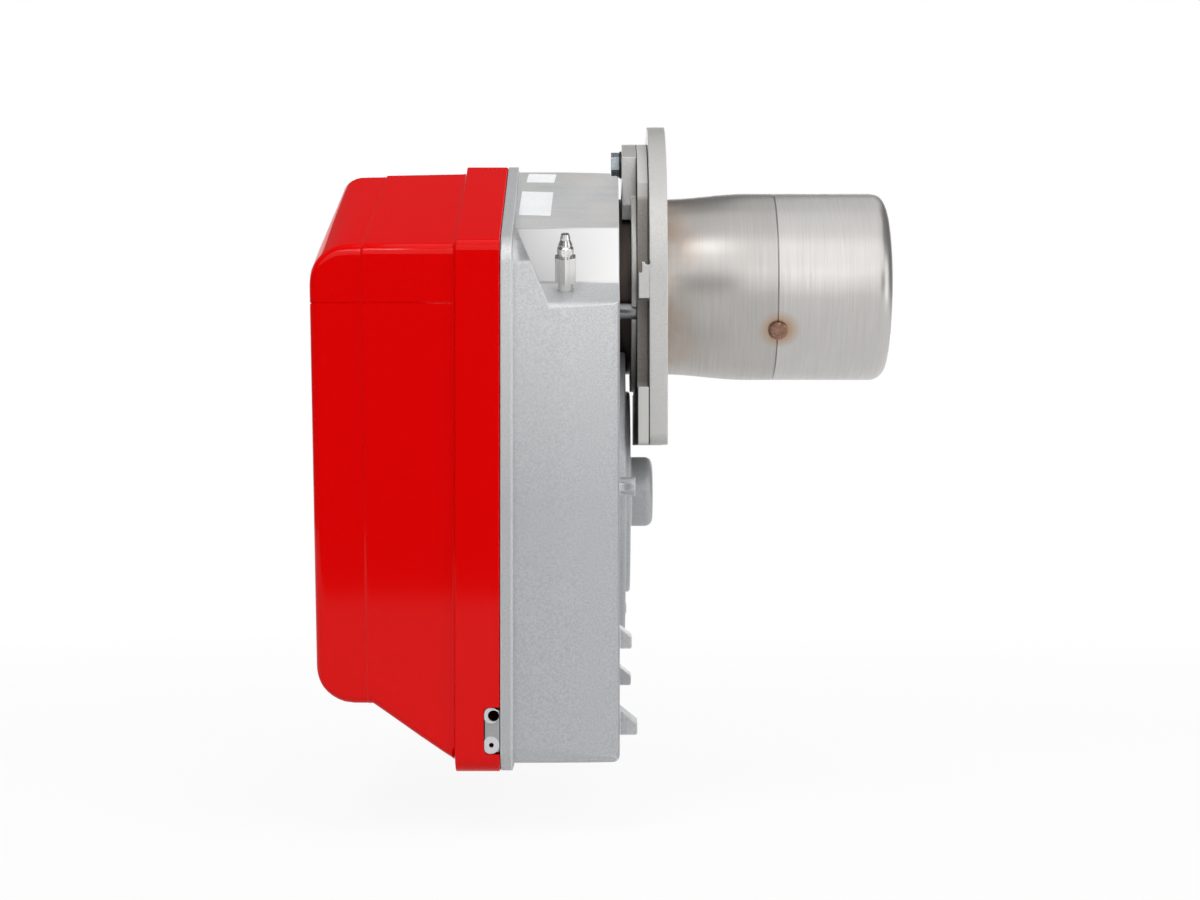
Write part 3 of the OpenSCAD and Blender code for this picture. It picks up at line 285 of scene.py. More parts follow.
@dataclass(frozen=True)
class Finish:
    """One finish: colours, gloss and the way it varies.

    Attributes:
        slot: the record's material slot.
        base: main colour.
        accent: second colour of the grain.
        metallic: 0 or 1, or between for a dull oxide.
        roughness: mean roughness.
        swing: how far the roughness swings.
        grain: grain features per metre.
        depth: height of the grain in metres.
        kind: how it varies.
        coat: clear coat weight.
        patch: strength of broad tone changes.
        shine: specular level.
        edge: radius over which edges look rounded and get a painted highlight, in metres.
    """

    slot: str
    base: Colour
    accent: Colour
    metallic: float
    roughness: float
    swing: float
    grain: float
    depth: float
    kind: Kind = Kind.GRAIN
    coat: float = 0.0
    patch: float = 0.3
    shine: float = 0.5
    edge: float = 0.0

    def build(self) -> bpy.types.Material:
        """Builds the material.

        Returns:
            The new material.
        """
        material = bpy.data.materials.new(f"finish_{self.slot}")
        g = Graph(material)
        drawn = self.kind in (Kind.BRUSHED, Kind.HEAT)
        fine = g.noise(self.grain, 3.0, (1.0, 0.02, 0.02) if drawn else (1.0, 1.0, 1.0))
        broad = g.noise(14.0, 3.0, centre=(0.13, 0.27, 0.41))
        grain = g.blend(g.ramp(fine, "Fac", 0.35, 0.68), self.base, self.accent)
        dim = tuple(c * (1 - self.patch) for c in self.base)
        colour = g.blend(g.ramp(broad, "Fac", 0.45, 0.9), grain, dim)
        extra = {Kind.HEAT: self.tint_and_painted_shade, Kind.CAST: self.roof_with_painted_light_and_shade, Kind.SPACER: self.spacer_painted_light_and_shade}
        if self.kind in extra:
            colour = extra[self.kind](g, colour)
        # Paints a highlight on the edges where the finish has an edge radius.
        if self.edge:
            colour = self.lit_edges(g, colour)
        g.link(colour, 2, g.shader, "Base Color")
        low, high = max(0.02, self.roughness - self.swing), min(1.0, self.roughness + self.swing)
        g.link(g.ramp(fine, "Fac", 0.3, 0.7, low, high), "Result", g.shader, "Roughness")
        for name, value in (("Metallic", self.metallic), ("Specular IOR Level", self.shine),
                            ("Coat Weight", self.coat), ("Coat Roughness", 0.06)):
            g.shader.inputs[name].default_value = value
        if self.depth:
            g.bump(fine, "Fac", 0.5, self.depth)
        return material

    def lit_edges(self, g: Graph, tone: Node) -> Node:
        """Rounds the edges in the shading and paints a pale highlight on them.

        Args:
            g: the material's graph.
            tone: the mix node with the colour so far.
        Returns:
            The mix node with the painted edge highlight.
        """
        g.soft = g.add("ShaderNodeBevel", {"samples": SOFT_EDGE_SAMPLES}, Radius=self.edge)
        same = g.add("ShaderNodeVectorMath", {"operation": "DOT_PRODUCT"})
        g.link(g.soft, "Normal", same, 0)
        g.link(g.add("ShaderNodeNewGeometry"), "Normal", same, 1)
        return g.blend(g.ramp(same, "Value", 0.985, 0.90), tone, EDGE_HIGHLIGHT)

    def roof_with_painted_light_and_shade(self, g: Graph, tone: Node) -> Node:
        """Adds the housing's brushed sloping roof, painted light on its recesses' back walls and painted
        shade that darkens it towards the bottom.

        Args:
            g: the material's graph.
            tone: the mix node with the plain colour.
        Returns:
            The mix node with the roof's colour, the painted shade and the painted light on the recesses.
        """
        spot = g.split(g.coords, "Object")
        facet = g.split(g.add("ShaderNodeNewGeometry"), "True Normal")
        streak = g.noise(420.0, 3.0, (0.04, 1.0, 1.0), (0.2, 0.5, 0.1))
        cloud = g.noise(24.0, 2.0, centre=(0.6, 0.2, 0.3))
        brushed = g.blend(g.ramp(streak, "Fac", 0.3, 0.7), ROOF_DARK, ROOF_PALE)
        warm = g.blend(g.ramp(cloud, "Fac", 0.45, 0.7), brushed, ROOF_WARM)
        # Painted shade: the housing grows darker towards its bottom.
        painted_low_shade = g.shade(g.ramp(spot, "Z", -0.02, -0.125), tone, LOW_SHADE)
        roof = g.all_of(g.ramp(spot, "Z", 0.0125, 0.0135), g.ramp(facet, "Z", 0.80, 0.86),
                        g.ramp(spot, "X", -0.0830, -0.0826))
        # Painted light: the recesses' back walls, facing out on both sides, are painted paler.
        near = g.all_of(g.ramp(spot, "Y", -0.1405, -0.1395), g.ramp(facet, "Y", -0.55, -0.7))
        far = g.all_of(g.ramp(spot, "Y", 0.1405, 0.1395), g.ramp(facet, "Y", 0.55, 0.7))
        recess = g.all_of(g.either(near, far), g.ramp(spot, "Z", -0.0125, -0.0110),
                          g.ramp(spot, "X", -0.0830, -0.0815))
        return g.blend(recess, g.blend(roof, painted_low_shade, warm), RECESS_PAINTED_LIGHT)

    def spacer_painted_light_and_shade(self, g: Graph, tone: Node) -> Node:
        """Paints light on the ends of the spacer's rough stretch and paints shade into the gaps on its two
        sides.

        Args:
            g: the material's graph.
            tone: the mix node with the rough colour.
        Returns:
            The mix node with pale ends and dark joints.
        """
        spot = g.split(g.coords, "Object")
        # Painted light: the spacer is paler at its top and bottom ends, where light falls on it.
        ends = g.either(g.ramp(spot, "Z", 0.044, 0.047), g.ramp(spot, "Z", -0.058, -0.061))
        # Painted shade: near black in the gaps on the spacer's two sides.
        joints = g.either(g.ramp(spot, "X", -0.0162, -0.0164), g.ramp(spot, "X", -0.0107, -0.0105))
        return g.blend(joints, g.blend(ends, tone, SPACER_PAINTED_LIGHT), SPACER_GAP_SHADE)

    def tint_and_painted_shade(self, g: Graph, tone: Node) -> Node:
        """Adds the blast tube's heat tint: bronze by the flange and by the joint's screw; darkens the rear
        stretch behind the joint and paints shade on the stretch inside the flange.

        Args:
            g: the material's graph.
            tone: the mix node with the plain colour.
        Returns:
            The mix node with the tint.
        """
        spot = g.split(g.coords, "Object")
        cloud = g.noise(38.0, 4.0, centre=(0.3, 0.1, 0.2))
        patchy = g.all_of(g.ramp(spot, "X", 0.026, -0.004), g.ramp(cloud, "Fac", 0.35, 0.65))
        # The rear stretch behind the joint is made darker.
        baked = g.shade(g.ramp(spot, "X", 0.0646, 0.0643), g.blend(patchy, tone, BRONZE), REAR_DARKER)
        screw = g.add("ShaderNodeVectorMath", {"operation": "DISTANCE"})
        g.link(g.coords, "Object", screw, 0)
        screw.inputs[1].default_value = TUBE_SCREW
        stained = g.blend(g.ramp(screw, "Value", 0.0125, 0.004), baked, SCREW_STAIN)
        # Painted shade: near black where the tube runs inside the flange.
        return g.blend(g.ramp(spot, "X", -0.010, -0.012), stained, TUBE_PAINTED_GAP_SHADE)


# Slot, base, accent, metallic, roughness, swing, grain, depth, and what differs from the defaults.
PAPER = Finish("sticker_paper", (0.84, 0.85, 0.85), (0.76, 0.77, 0.78), 0.0, 0.45, 0.05, 900, 0.0)
FINISHES: tuple[Finish, ...] = (
    Finish("cast_aluminium", (0.635, 0.64, 0.65), (0.51, 0.517, 0.53), 0.6, 0.50, 0.08, 1100, 5e-5,
           Kind.CAST, patch=0.10, edge=0.0013),
    Finish("flange_aluminium", (0.56, 0.555, 0.54), (0.46, 0.455, 0.44), 0.5, 0.45, 0.1, 1700, 5e-5,
           patch=0.10, edge=0.0008),
    Finish("spacer_metal", (0.42, 0.39, 0.355), (0.29, 0.265, 0.24), 0.35, 0.55, 0.1, 1300, 6e-5,
           Kind.SPACER),
    Finish("tube_steel", (0.57, 0.555, 0.54), (0.51, 0.495, 0.48), 0.9, 0.34, 0.04, 1400, 6e-6,
           Kind.HEAT, patch=0.14),
    Finish("tinted_screw", (0.34, 0.20, 0.15), (0.20, 0.10, 0.07), 0.9, 0.33, 0.1, 700, 3e-5),
    Finish("hood_red", (0.68, 0.0, 0.0), (0.665, 0.0, 0.0), 0.0, 0.07, 0.02, 500, 0.0,
           patch=0.03, shine=0.15),
    Finish("zinc_steel", (0.46, 0.52, 0.56), (0.38, 0.43, 0.46), 0.9, 0.3, 0.08, 900, 2e-5),
    Finish("nickel_nipple", (0.78, 0.77, 0.75), (0.68, 0.67, 0.65), 1.0, 0.24, 0.05, 900, 1e-5, Kind.BRUSHED),
    Finish("dark_washer", (0.03, 0.03, 0.035), (0.06, 0.06, 0.065), 0.4, 0.5, 0.1, 900, 2e-5),
    Finish("grey_plastic", (0.36, 0.36, 0.365), (0.32, 0.32, 0.325), 0.0, 0.5, 0.05, 1500, 2e-5),
    Finish("grey_rubber", (0.64, 0.64, 0.66), (0.60, 0.60, 0.62), 0.0, 0.55, 0.05, 1500, 2e-5),
    Finish("motor_paint", (0.035, 0.036, 0.04), (0.02, 0.02, 0.023), 0.1, 0.4, 0.08, 900, 3e-5),
    Finish("winding", (0.24, 0.12, 0.06), (0.15, 0.08, 0.04), 0.3, 0.45, 0.1, 1200, 1e-4),
    Finish("bright_steel", (0.62, 0.63, 0.65), (0.55, 0.56, 0.58), 1.0, 0.2, 0.05, 1200, 1e-5, Kind.BRUSHED),
    Finish("black_plastic", (0.022, 0.022, 0.024), (0.014, 0.014, 0.015), 0.0, 0.5, 0.06, 2200, 4e-5),
    Finish("red_button", (0.55, 0.01, 0.008), (0.5, 0.01, 0.008), 0.0, 0.25, 0.03, 600, 0.0, coat=0.4),
    Finish("white_ceramic", (0.74, 0.71, 0.63), (0.68, 0.65, 0.58), 0.0, 0.22, 0.04, 500, 1e-5, coat=0.5),
    Finish("brass_metal", (0.62, 0.45, 0.18), (0.52, 0.37, 0.15), 1.0, 0.28, 0.06, 1300, 1e-5, Kind.BRUSHED),
    Finish("copper_pipe", (0.60, 0.27, 0.14), (0.45, 0.19, 0.10), 1.0, 0.3, 0.08, 300, 1e-5),
    Finish("sheet_steel", (0.47, 0.49, 0.51), (0.40, 0.42, 0.44), 0.85, 0.38, 0.08, 260, 1e-5),
    Finish("pump_casting", (0.36, 0.37, 0.38), (0.28, 0.29, 0.30), 0.5, 0.45, 0.1, 1500, 5e-5),
    Finish("lead_rubber", (0.018, 0.018, 0.02), (0.012, 0.012, 0.013), 0.0, 0.45, 0.06, 900, 2e-5),
    Finish("capacitor_shell", (0.62, 0.62, 0.58), (0.56, 0.56, 0.52), 0.0, 0.4, 0.05, 900, 1e-5),
)


def add_object(name: str, data: bpy.types.ID) -> bpy.types.Object:
    """Makes an object and puts it in the scene.

    Args:
        name: the object's name.
        data: its mesh, lamp or camera.
    Returns:
        The new object.
    """
    obj = bpy.data.objects.new(name, data)
    bpy.context.scene.collection.objects.link(obj)
    return obj


def to_mesh(name: str, bm: BMesh) -> bpy.types.Mesh:
    """Turns an edit mesh into a mesh.

    Args:
        name: the mesh's name.
        bm: the edit mesh, which is freed.
    Returns:
        The new mesh.
    """
    mesh = bpy.data.meshes.new(name)
    bm.to_mesh(mesh)
    bm.free()
    return mesh


def absorb(bm: BMesh, other: BMesh) -> None:
    """Adds one edit mesh to another.

    Args:
        bm: the mesh that grows.
        other: the mesh that is added and freed.
    """
    mesh = to_mesh("absorbed", other)
    bm.from_mesh(mesh)
    bpy.data.meshes.remove(mesh)


def remove(obj: bpy.types.Object) -> None:
    """Removes a helper object with its mesh."""
    mesh = obj.data
    bpy.data.objects.remove(obj)
    bpy.data.meshes.remove(mesh)


def even_normals(obj: bpy.types.Object) -> None:
    """Keeps flat faces flat in the shading beside rounded edges."""
    obj.modifiers.new("normals", "WEIGHTED_NORMAL").keep_sharp = True


class Workshop:
    """Holds the frame and the materials, and turns meshes into finished pieces."""

    def __init__(self, frame: dict) -> None:
        self.nodes: dict[str, bpy.types.Object] = frame["nodes"]
        self.slots = {row["node"]: row["material_slot"] for row in frame["record"]["subparts"]}
        bodies = frame["record"]["behaviour"]["bodies"]
        self.bodies = {node: body for body, nodes in bodies.items() for node in nodes}
        self.materials = {finish.slot: finish.build() for finish in FINISHES}
        self.paper = PAPER.build()

    def dress_nodes(self) -> None:
        """Gives every node of the frame its slot's material."""
        for name, obj in self.nodes.items():
            obj.data.materials.clear()
            obj.data.materials.append(self.materials[self.slots[name]])
        LOG.info("dressed %d nodes", len(self.nodes))

    def finish_piece(self, obj: bpy.types.Object, nodes: Sequence[str], slot: str | None = None,
                     body: str | None = None) -> bpy.types.Object:
        """Dresses a piece, lets it ride and hides the nodes it stands for.

        Args:
            obj: the finished object, at the origin.
            nodes: the nodes it replaces.
            slot: material slot, by default that of the first node.
            body: body it rides on, by default that of the first node.
        Returns:
            The object.
        """
        slot = slot or self.slots[nodes[0]]
        body = body or self.bodies[nodes[0]]
        if not obj.data.materials:
            obj.data.materials.append(self.materials[slot])
        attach(obj, body)
        if nodes:
            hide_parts(*nodes)
        LOG.info("piece %s on %s", obj.name, body)
        return obj

    def from_bmesh(self, name: str, bm: BMesh, angle: float = 35.0) -> bpy.types.Object:
        """Makes an object of a mesh, with its normals outwards and smooth up to an angle.

        Args:
            name: the piece's name.
            bm: the mesh, which is freed.
            angle: edges sharper than this stay sharp, in degrees.
        Returns:
            The new object.
        """
        bmesh.ops.remove_doubles(bm, verts=bm.verts, dist=1e-6)
        bmesh.ops.recalc_face_normals(bm, faces=bm.faces)
        mesh = to_mesh(name, bm)
        mesh.polygons.foreach_set("use_smooth", [True] * len(mesh.polygons))
        mesh.set_sharp_from_angle(angle=math.radians(angle))
        return add_object(name, mesh)

    def refined(self, node: str, name: str, bevel: float, smooth: float = 40.0) -> None:
        """Copies a node's mesh, merges it and rounds its edges.

        Args:
            node: the node.
            name: the new piece's name.
            bevel: width of the rounded edges in metres, or 0.
            smooth: edges flatter than this are shaded smooth, in degrees.
        """
        bm = bmesh.new()
        bm.from_mesh(self.nodes[node].data)
        bmesh.ops.remove_doubles(bm, verts=bm.verts, dist=MERGE)
        bmesh.ops.dissolve_limit(bm, angle_limit=FLAT, verts=bm.verts, edges=bm.edges)
        obj = self.from_bmesh(name, bm, smooth)
        if bevel:
            mod = obj.modifiers.new("edges", "BEVEL")
            mod.width = bevel
            mod.segments = 2
            mod.limit_method = "ANGLE"
            mod.angle_limit = SHARP
            mod.harden_normals = True
        even_normals(obj)
        self.finish_piece(obj, [node])


def disc(y: float, z: float, r: float, steps: int = 40) -> list[Pair]:
    """Points of a circle."""
    turns = [2 * math.pi * i / steps for i in range(steps)]
    return [(y + r * math.cos(a), z + r * math.sin(a)) for a in turns]


def lathe(profile: Sequence[Pair], segments: int = 128, closed: bool = True) -> BMesh:
    """Turns a profile about the X axis.

    Args:
        profile: points (x, radius) in metres.
        segments: steps round the axis.
        closed: whether the profile's last point joins its first.
    Returns:
        The mesh.
    """
    bm = bmesh.new()
    rings = []
    for x, r in profile:
        if r < 1e-7:
            rings.append([bm.verts.new((x, 0, 0))])
            continue
        rings.append([bm.verts.new((x, y, z)) for y, z in disc(0, 0, r, segments)])
    pairs = list(zip(rings, rings[1:])) + ([(rings[-1], rings[0])] if closed else [])
    for a, b in pairs:
        for k in range(segments):
            j = (k + 1) % segments
            ring = [a[k % len(a)], a[j % len(a)], b[j % len(b)], b[k % len(b)]]
            corners = [v for i, v in enumerate(ring) if v not in ring[:i]]
            if len(corners) > 2:
                bm.faces.new(corners)
    return bm


def arc(cx: float, cy: float, r: float, start: float, end: float, steps: int) -> list[Pair]:
    """Points along an arc, with angles in degrees."""
    angles = [math.radians(start + (end - start) * i / steps) for i in range(steps + 1)]
    return [(cx + r * math.cos(a), cy + r * math.sin(a)) for a in angles]


@dataclass
class BlastTube:
    """The blast tube: flared rear stretch and head with a rounded shoulder. Lengths are in metres."""

    shop: Workshop
    wall: float = 1.5 * MM
    joint_gap: float = 0.45 * MM
    flare_end: float = 49 * MM
    flare_depth: float = 3.25 * MM
    flare_steps: int = 24
    shoulder: float = 8.5 * MM
    flattened: float = 0.84
    lip: float = 1.2 * MM
    mouth: float = 43 * MM

    def build(self) -> None:
        """Builds the rear stretch and the head on the two sides of the joint."""
        rear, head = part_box("blast_tube"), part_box("tube_head")
        radius, seam = head[1].z, rear[1].x
        profiles = (("tube_rear_stretch", "blast_tube", self.rear_profile(rear[0].x, seam, radius)),
                    ("tube_front_head", "tube_head", self.head_profile(head[0].x, seam, head[1].x, radius)))
        for name, node, profile in profiles:
            self.shop.finish_piece(self.shop.from_bmesh(name, lathe(profile)), [node])

    def rear_profile(self, back: float, seam: float, radius: float) -> list[Pair]:
        """Half section of the rear stretch.

        Args:
            back: its rear end along the tube.
            seam: place of the joint along the tube.
            radius: outer radius in front of the flare.
        Returns:
            Points (x, radius).
        """
        thin = radius - self.flare_depth
        outer = [(back, thin - 0.3 * MM), (back + 0.3 * MM, thin)]
        for i in range(self.flare_steps + 1):
            share = (1 - math.cos(math.pi * i / self.flare_steps)) / 2
            outer.append((self.flare_end * i / self.flare_steps, thin + (radius - thin) * share))
        outer += [(seam - self.joint_gap, radius), (seam - 0.05 * MM, radius - self.joint_gap)]
        inner = [(x, r - self.wall) for x, r in reversed(outer[1:-2])]
        return outer + [(seam - 0.05 * MM, radius - self.wall)] + inner

    def head_profile(self, start: float, seam: float, end: float, radius: float) -> list[Pair]:
        """Half section of the head, with the spigot that goes into the rear stretch.

        Args:
            start: the spigot's rear end along the tube.
            seam: place of the joint along the tube.
            end: the head's front.
            radius: outer radius behind the shoulder.
        Returns:
            Points (x, radius).
        """
        wall, round_x, round_r = self.wall, end - self.shoulder, radius - self.shoulder
        spigot, inside = radius - wall - 0.05 * MM, radius - wall
        outer = [(start, spigot - wall), (start, spigot), (seam, spigot), (seam, radius - self.joint_gap),
                 (seam + self.joint_gap, radius)]
        outer += [(x, radius - (radius - y) * self.flattened)
                  for x, y in arc(round_x, round_r, self.shoulder, 90, 14, 14)]
        outer += [(end - 0.35 * MM, self.mouth + 2.2 * MM)]
        outer += arc(end - self.lip, self.mouth + 1.2 * MM, self.lip, 0, -90, 5)
        inner = [(end - 2.4 * MM, self.mouth + 0.5 * MM)]
        inner += [(x, inside - (inside - y) * self.flattened)
                  for x, y in arc(round_x, round_r, self.shoulder - wall, 25, 90, 10)]
        return outer + inner + [(seam + 3 * MM, inside), (seam + 1.5 * MM, spigot - wall)]


def rounded(points: Sequence[Point], steps: int) -> list[Pair]:
    """Rounds the corners of an open line.

    Args:
        points: corners with their radii; the first and last stay as they are.
        steps: steps in each corner.
    Returns:
        The points of the line.
    """
    line = [points[0][:2]]
    for a, p, b in zip(points, points[1:], points[2:]):
        corner = Vector(p[:2])
        u, v = (Vector(a[:2]) - corner).normalized(), (Vector(b[:2]) - corner).normalized()
        half = u.angle(v) / 2
        reach = p[2] / math.tan(half)
        centre = corner + (u + v).normalized() * (p[2] / math.sin(half))
        start, end = corner + u * reach - centre, corner + v * reach - centre
        turn = start.angle_signed(end)
        for i in range(steps + 1):
            spin = Matrix.Rotation(-turn * i / steps, 2)
            line.append(tuple(centre + spin @ start))
    line.append(points[-1][:2])
    return line


def spread(a: Pair, b: Pair, steps: int) -> list[Pair]:
    """Points between two points, without the points themselves."""
    return [(a[0] + (b[0] - a[0]) * i / steps, a[1] + (b[1] - a[1]) * i / steps) for i in range(1, steps)]


def round_in(radius: float, depth: float) -> float:
    """How far a rounded edge lies inside its corner at a depth from the face."""
    return radius - math.sqrt(max(0.0, radius ** 2 - (radius - depth) ** 2)) if depth < radius else 0.0


def bridge(bm: BMesh, first: Sequence[bmesh.types.BMVert], second: Sequence[bmesh.types.BMVert]) -> None:
    """Joins two closed rings of points by faces."""
    for i in range(len(first)):
        j = (i + 1) % len(first)
        bm.faces.new((first[i], first[j], second[j], second[i]))


def prism(outline: Sequence[Pair], low: float, high: float, axis: str) -> BMesh:
    """Extrudes an outline along an axis.

    Args:
        outline: points in the plane square to the axis, in the order x, y, z.
        low: start along the axis.
        high: end along the axis.
        axis: "x", "y" or "z".
    Returns:
        The mesh.
    """
    place = {"x": lambda p, h: (h, p[0], p[1]), "y": lambda p, h: (p[0], h, p[1]),
             "z": lambda p, h: (p[0], p[1], h)}
    bm = bmesh.new()
    rings = [[bm.verts.new(place[axis](p, h)) for p in outline] for h in (low, high)]
    for ring in rings:
        bm.faces.new(ring)
    bridge(bm, *rings)
    bmesh.ops.recalc_face_normals(bm, faces=bm.faces)
    return bm


def metres(bm: BMesh) -> BMesh:
    """Turns a mesh from millimetres to metres."""
    bmesh.ops.scale(bm, vec=(MM, MM, MM), verts=bm.verts)
    return bm


def carve(obj: bpy.types.Object, cutters: Iterable[BMesh]) -> None:
    """Cuts closed shapes out of an object's mesh.

    Args:
        obj: the object, with any modifiers, which are applied.
        cutters: closed meshes, which are freed.
    """
    helpers = []
    for i, bm in enumerate(cutters):
        helper = add_object(f"cutter_{i}", to_mesh(f"cutter_{i}", bm))
        helpers.append(helper)
        mod = obj.modifiers.new(f"cut_{i}", "BOOLEAN")
        mod.operation = "DIFFERENCE"
        mod.solver = "MANIFOLD"
        mod.object = helper
    bake(obj)
    for helper in helpers:
        remove(helper)


def bake(obj: bpy.types.Object, keep: bool = False) -> None:
    """Turns an object's modifiers into plain mesh.

    Args:
        obj: the object.
        keep: whether the result keeps its own materials.
    """
    bpy.context.view_layer.update()
    result = bpy.data.meshes.new_from_object(obj.evaluated_get(bpy.context.evaluated_depsgraph_get()))
    obj.modifiers.clear()
    obj.data = result
    if keep:
        return
    result.materials.clear()
    result.polygons.foreach_set("material_index", [0] * len(result.polygons))


# The hood's rings, in millimetres along the tube. Shares run from 0 to 1 over a step in the shape.
REAR_DEPTHS = (0.0, 0.12, 0.4, 0.9, 1.6, 2.6, 4.0, 6.0, 8.5, 11.5, 15.0, 19.9, 24.0)
PANEL_STEP = ((-1.0, 0.0), (-0.6, 0.06), (-0.3, 0.22), (0.0, 0.5), (0.3, 0.78), (0.6, 0.94), (1.0, 1.0))
WALL_SHARES = (0.0, 0.02, 0.06, 0.3, 0.6, 0.88, 0.965)
BAND_STEP = ((-1.2, 0.03), (-0.6, 0.1), (-0.3, 0.22), (-0.15, 0.42), (-0.05, 0.68), (0.1, 0.88), (0.35, 0.97),
             (0.8, 1.0))
FRONT_EDGE = ((-12.0, 0.0), (-0.8, 0.0), (-0.35, 0.12), (-0.1, 0.4), (0.0, 0.8))


@dataclass
class Hood:
    """The red hood: leaning rear with rounded edges, panel line, parting groove and front band.

    Lengths are in millimetres.
    """

    shop: Workshop
    roof_half: float = 42.0
    roof_drop: float = 53.4
    band_x: float = -114.0
    panel_x: float = -164.0
    bend_x: float = -161.0
    wide_z: float = 2.0
    heel_z: float = -231.1
    low_z: float = -261.0
    groove_z: float = -19.2
    groove_depth: float = 0.35
    wall: float = 2.5
    shoulder: float = 7.6
    crest: float = 6.0
    corner: float = 4.0
    band_corner: float = 9.0
    rear_insets: Point = (4.2, 6.6, 3.8)
    rear_rounds: tuple[float, ...] = (5.0, 10.0, 19.0, 7.0, 20.0)
    top_lean: float = 0.157
    top_lean_span: Pair = (-158.0, 13.0)
    low_lean: float = 0.0193
    low_lean_span: Pair = (-125.0, 47.0)
    lean_softness: float = 30.0
    across: int = 10
    corner_steps: int = 9
    screw_spots: tuple[Pair, ...] = ((0.0, 42.5), (-52.0, -215.5), (52.0, -215.5))
    button_spot: Pair = (-101.0, -155.5)
    notch_span: Pair = (-257.4, -232.7)

    def __post_init__(self) -> None:
        """Reads the hood's place from the frame, in millimetres."""
        low, high = (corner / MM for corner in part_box("hood"))
        self.back_x, self.front_x = low.x, high.x
        self.half_w, self.roof_z, self.floor_z = high.y, high.z, low.z

    def lean(self, x: float, z: float) -> float:
        """How far the hood's leaning rear shifts a point forward.

        Args:
            x: the ring's place at the hood's widest height.
            z: the point's height.
        Returns:
            The shift in millimetres.
        """
        t = z - self.wide_z
        soft = math.sqrt(t * t + self.lean_softness)
        (top_from, top_run), (low_from, low_run) = self.top_lean_span, self.low_lean_span
        top = min(1.0, max(0.0, (top_from - x) / top_run)) * self.top_lean * (t + soft - 2) / 2
        low = min(1.0, max(0.0, (low_from - x) / low_run)) * self.low_lean * (soft - t) / 2
        return max(0.0, top) + low

    def side(self, a: float, roof: float, slope: float, crest_slope: float, floor: float,
             low_r: float) -> list[tuple[float, float, bool]]:
        """One side of a ring, from the bottom to the roof.

        Args:
            a: inset of the wall.
            roof: inset of the flat roof.
            slope: inset of the sloping roof at the wall.
            crest_slope: inset of the sloping roof at its top.
            floor: height of the bottom.
            low_r: radius of the bottom corner.
        Returns:
            Points (y, z, whether it lies in the groove).
        """
        rise = self.roof_drop / (self.half_w - self.roof_half)
        up = math.sqrt(1 + rise ** 2)
        y = self.half_w - a
        top = (y, self.roof_z - self.roof_drop + rise * a - up * slope)
        ridge = (self.roof_half + (roof - up * crest_slope) / rise, self.roof_z - roof)
        depth = self.groove_z
        start = rounded([(0, floor, 0), (y, floor, low_r), (y, depth, 0)], 6)[1:-1]
        upper = rounded([(y, depth, 0), (*top, self.shoulder), (*ridge, self.crest), (0, ridge[1], 0)],
                        self.corner_steps)[1:-1]
        corner, crest = upper[:self.corner_steps + 1], upper[self.corner_steps + 1:]
        below = [*start, *spread(start[-1], (y, depth - 0.5), 26), (y, depth - 0.5)]
        above = [(y, depth + 0.5), *spread((y, depth + 0.5), corner[0], 5), *corner,
                 *spread(corner[-1], crest[0], 10), *crest]
        groove = [(y, depth - 0.2, True), (y, depth + 0.2, True)]
        return [(*p, False) for p in below] + groove + [(*p, False) for p in above]

    def rings(self) -> list[tuple[float, tuple[float, ...]]]:
        """All rings from the rear to the front.

        Returns:
            Place along the tube and the ring's insets, as side() takes them.
        """
        out = []
        wall_in, roof_in, slope_in = self.rear_insets
        for d in REAR_DEPTHS:
            wall, roof, slope, crest, heel = (round_in(radius, d) for radius in self.rear_rounds)
            out.append((self.back_x + d, (wall_in + wall, roof_in - 0.02 * d + roof, slope_in + slope,
                                          slope_in + crest, self.heel_z + heel, 2.5 + min(1.5, d / 6))))
        for shift, t in PANEL_STEP:
            slope = 4.0 - 1.0 * t
            insets = (4.05 - 0.9 * t, 5.9 - 0.6 * t, slope, slope, self.heel_z, self.corner)
            out.append((self.panel_x + shift, insets))
        run, fall = self.band_x - self.bend_x, self.low_z - self.heel_z
        for share in WALL_SHARES:
            floor = self.heel_z + fall * share
            out.append((self.bend_x + run * share, (3.1, 5.3 - 1.2 * share, 3.0, 3.0, floor, self.corner)))
        for x, t in BAND_STEP:
            u, floor = 1 - t, self.low_z + (self.floor_z - self.low_z) * t
            out.append((self.band_x + x, (3.1 * u, 4.05 * u, 3.0 * u, 3.0 * u, floor, self.band_corner)))
        out += [(self.front_x + x, (a, a, a, a, self.floor_z + a, self.band_corner)) for x, a in FRONT_EDGE]
        return out

    def ring(self, bm: BMesh, x: float, near: list[tuple[float, float, bool]]) -> tuple[list, ...]:
        """Adds one ring's points.

        Args:
            bm: mesh to add to.
            x: the ring's place.
            near: points of its side.
        Returns:
            The points of the near side, the far side, the roof and the bottom.
        """
        cut = self.groove_depth if x < self.band_x - 3 else 0.0

        def vertex(y: float, z: float, groove: bool = False) -> bmesh.types.BMVert:
            """Adds a point, moved in where it lies in the groove."""
            inner = y - math.copysign(cut, y) if groove else y
            forward = cut if groove and x < self.back_x + 5 else 0.0
            return bm.verts.new(((x + self.lean(x, z) + forward) * MM, inner * MM, z * MM))

        left = [vertex(-y, z, g) for y, z, g in near]
        right = [vertex(y, z, g) for y, z, g in near]
        top, low = ([vertex(*p) for p in spread((-y, z), (y, z), self.across)]
                    for y, z, _ in (near[-1], near[0]))
        return left, right, top, low

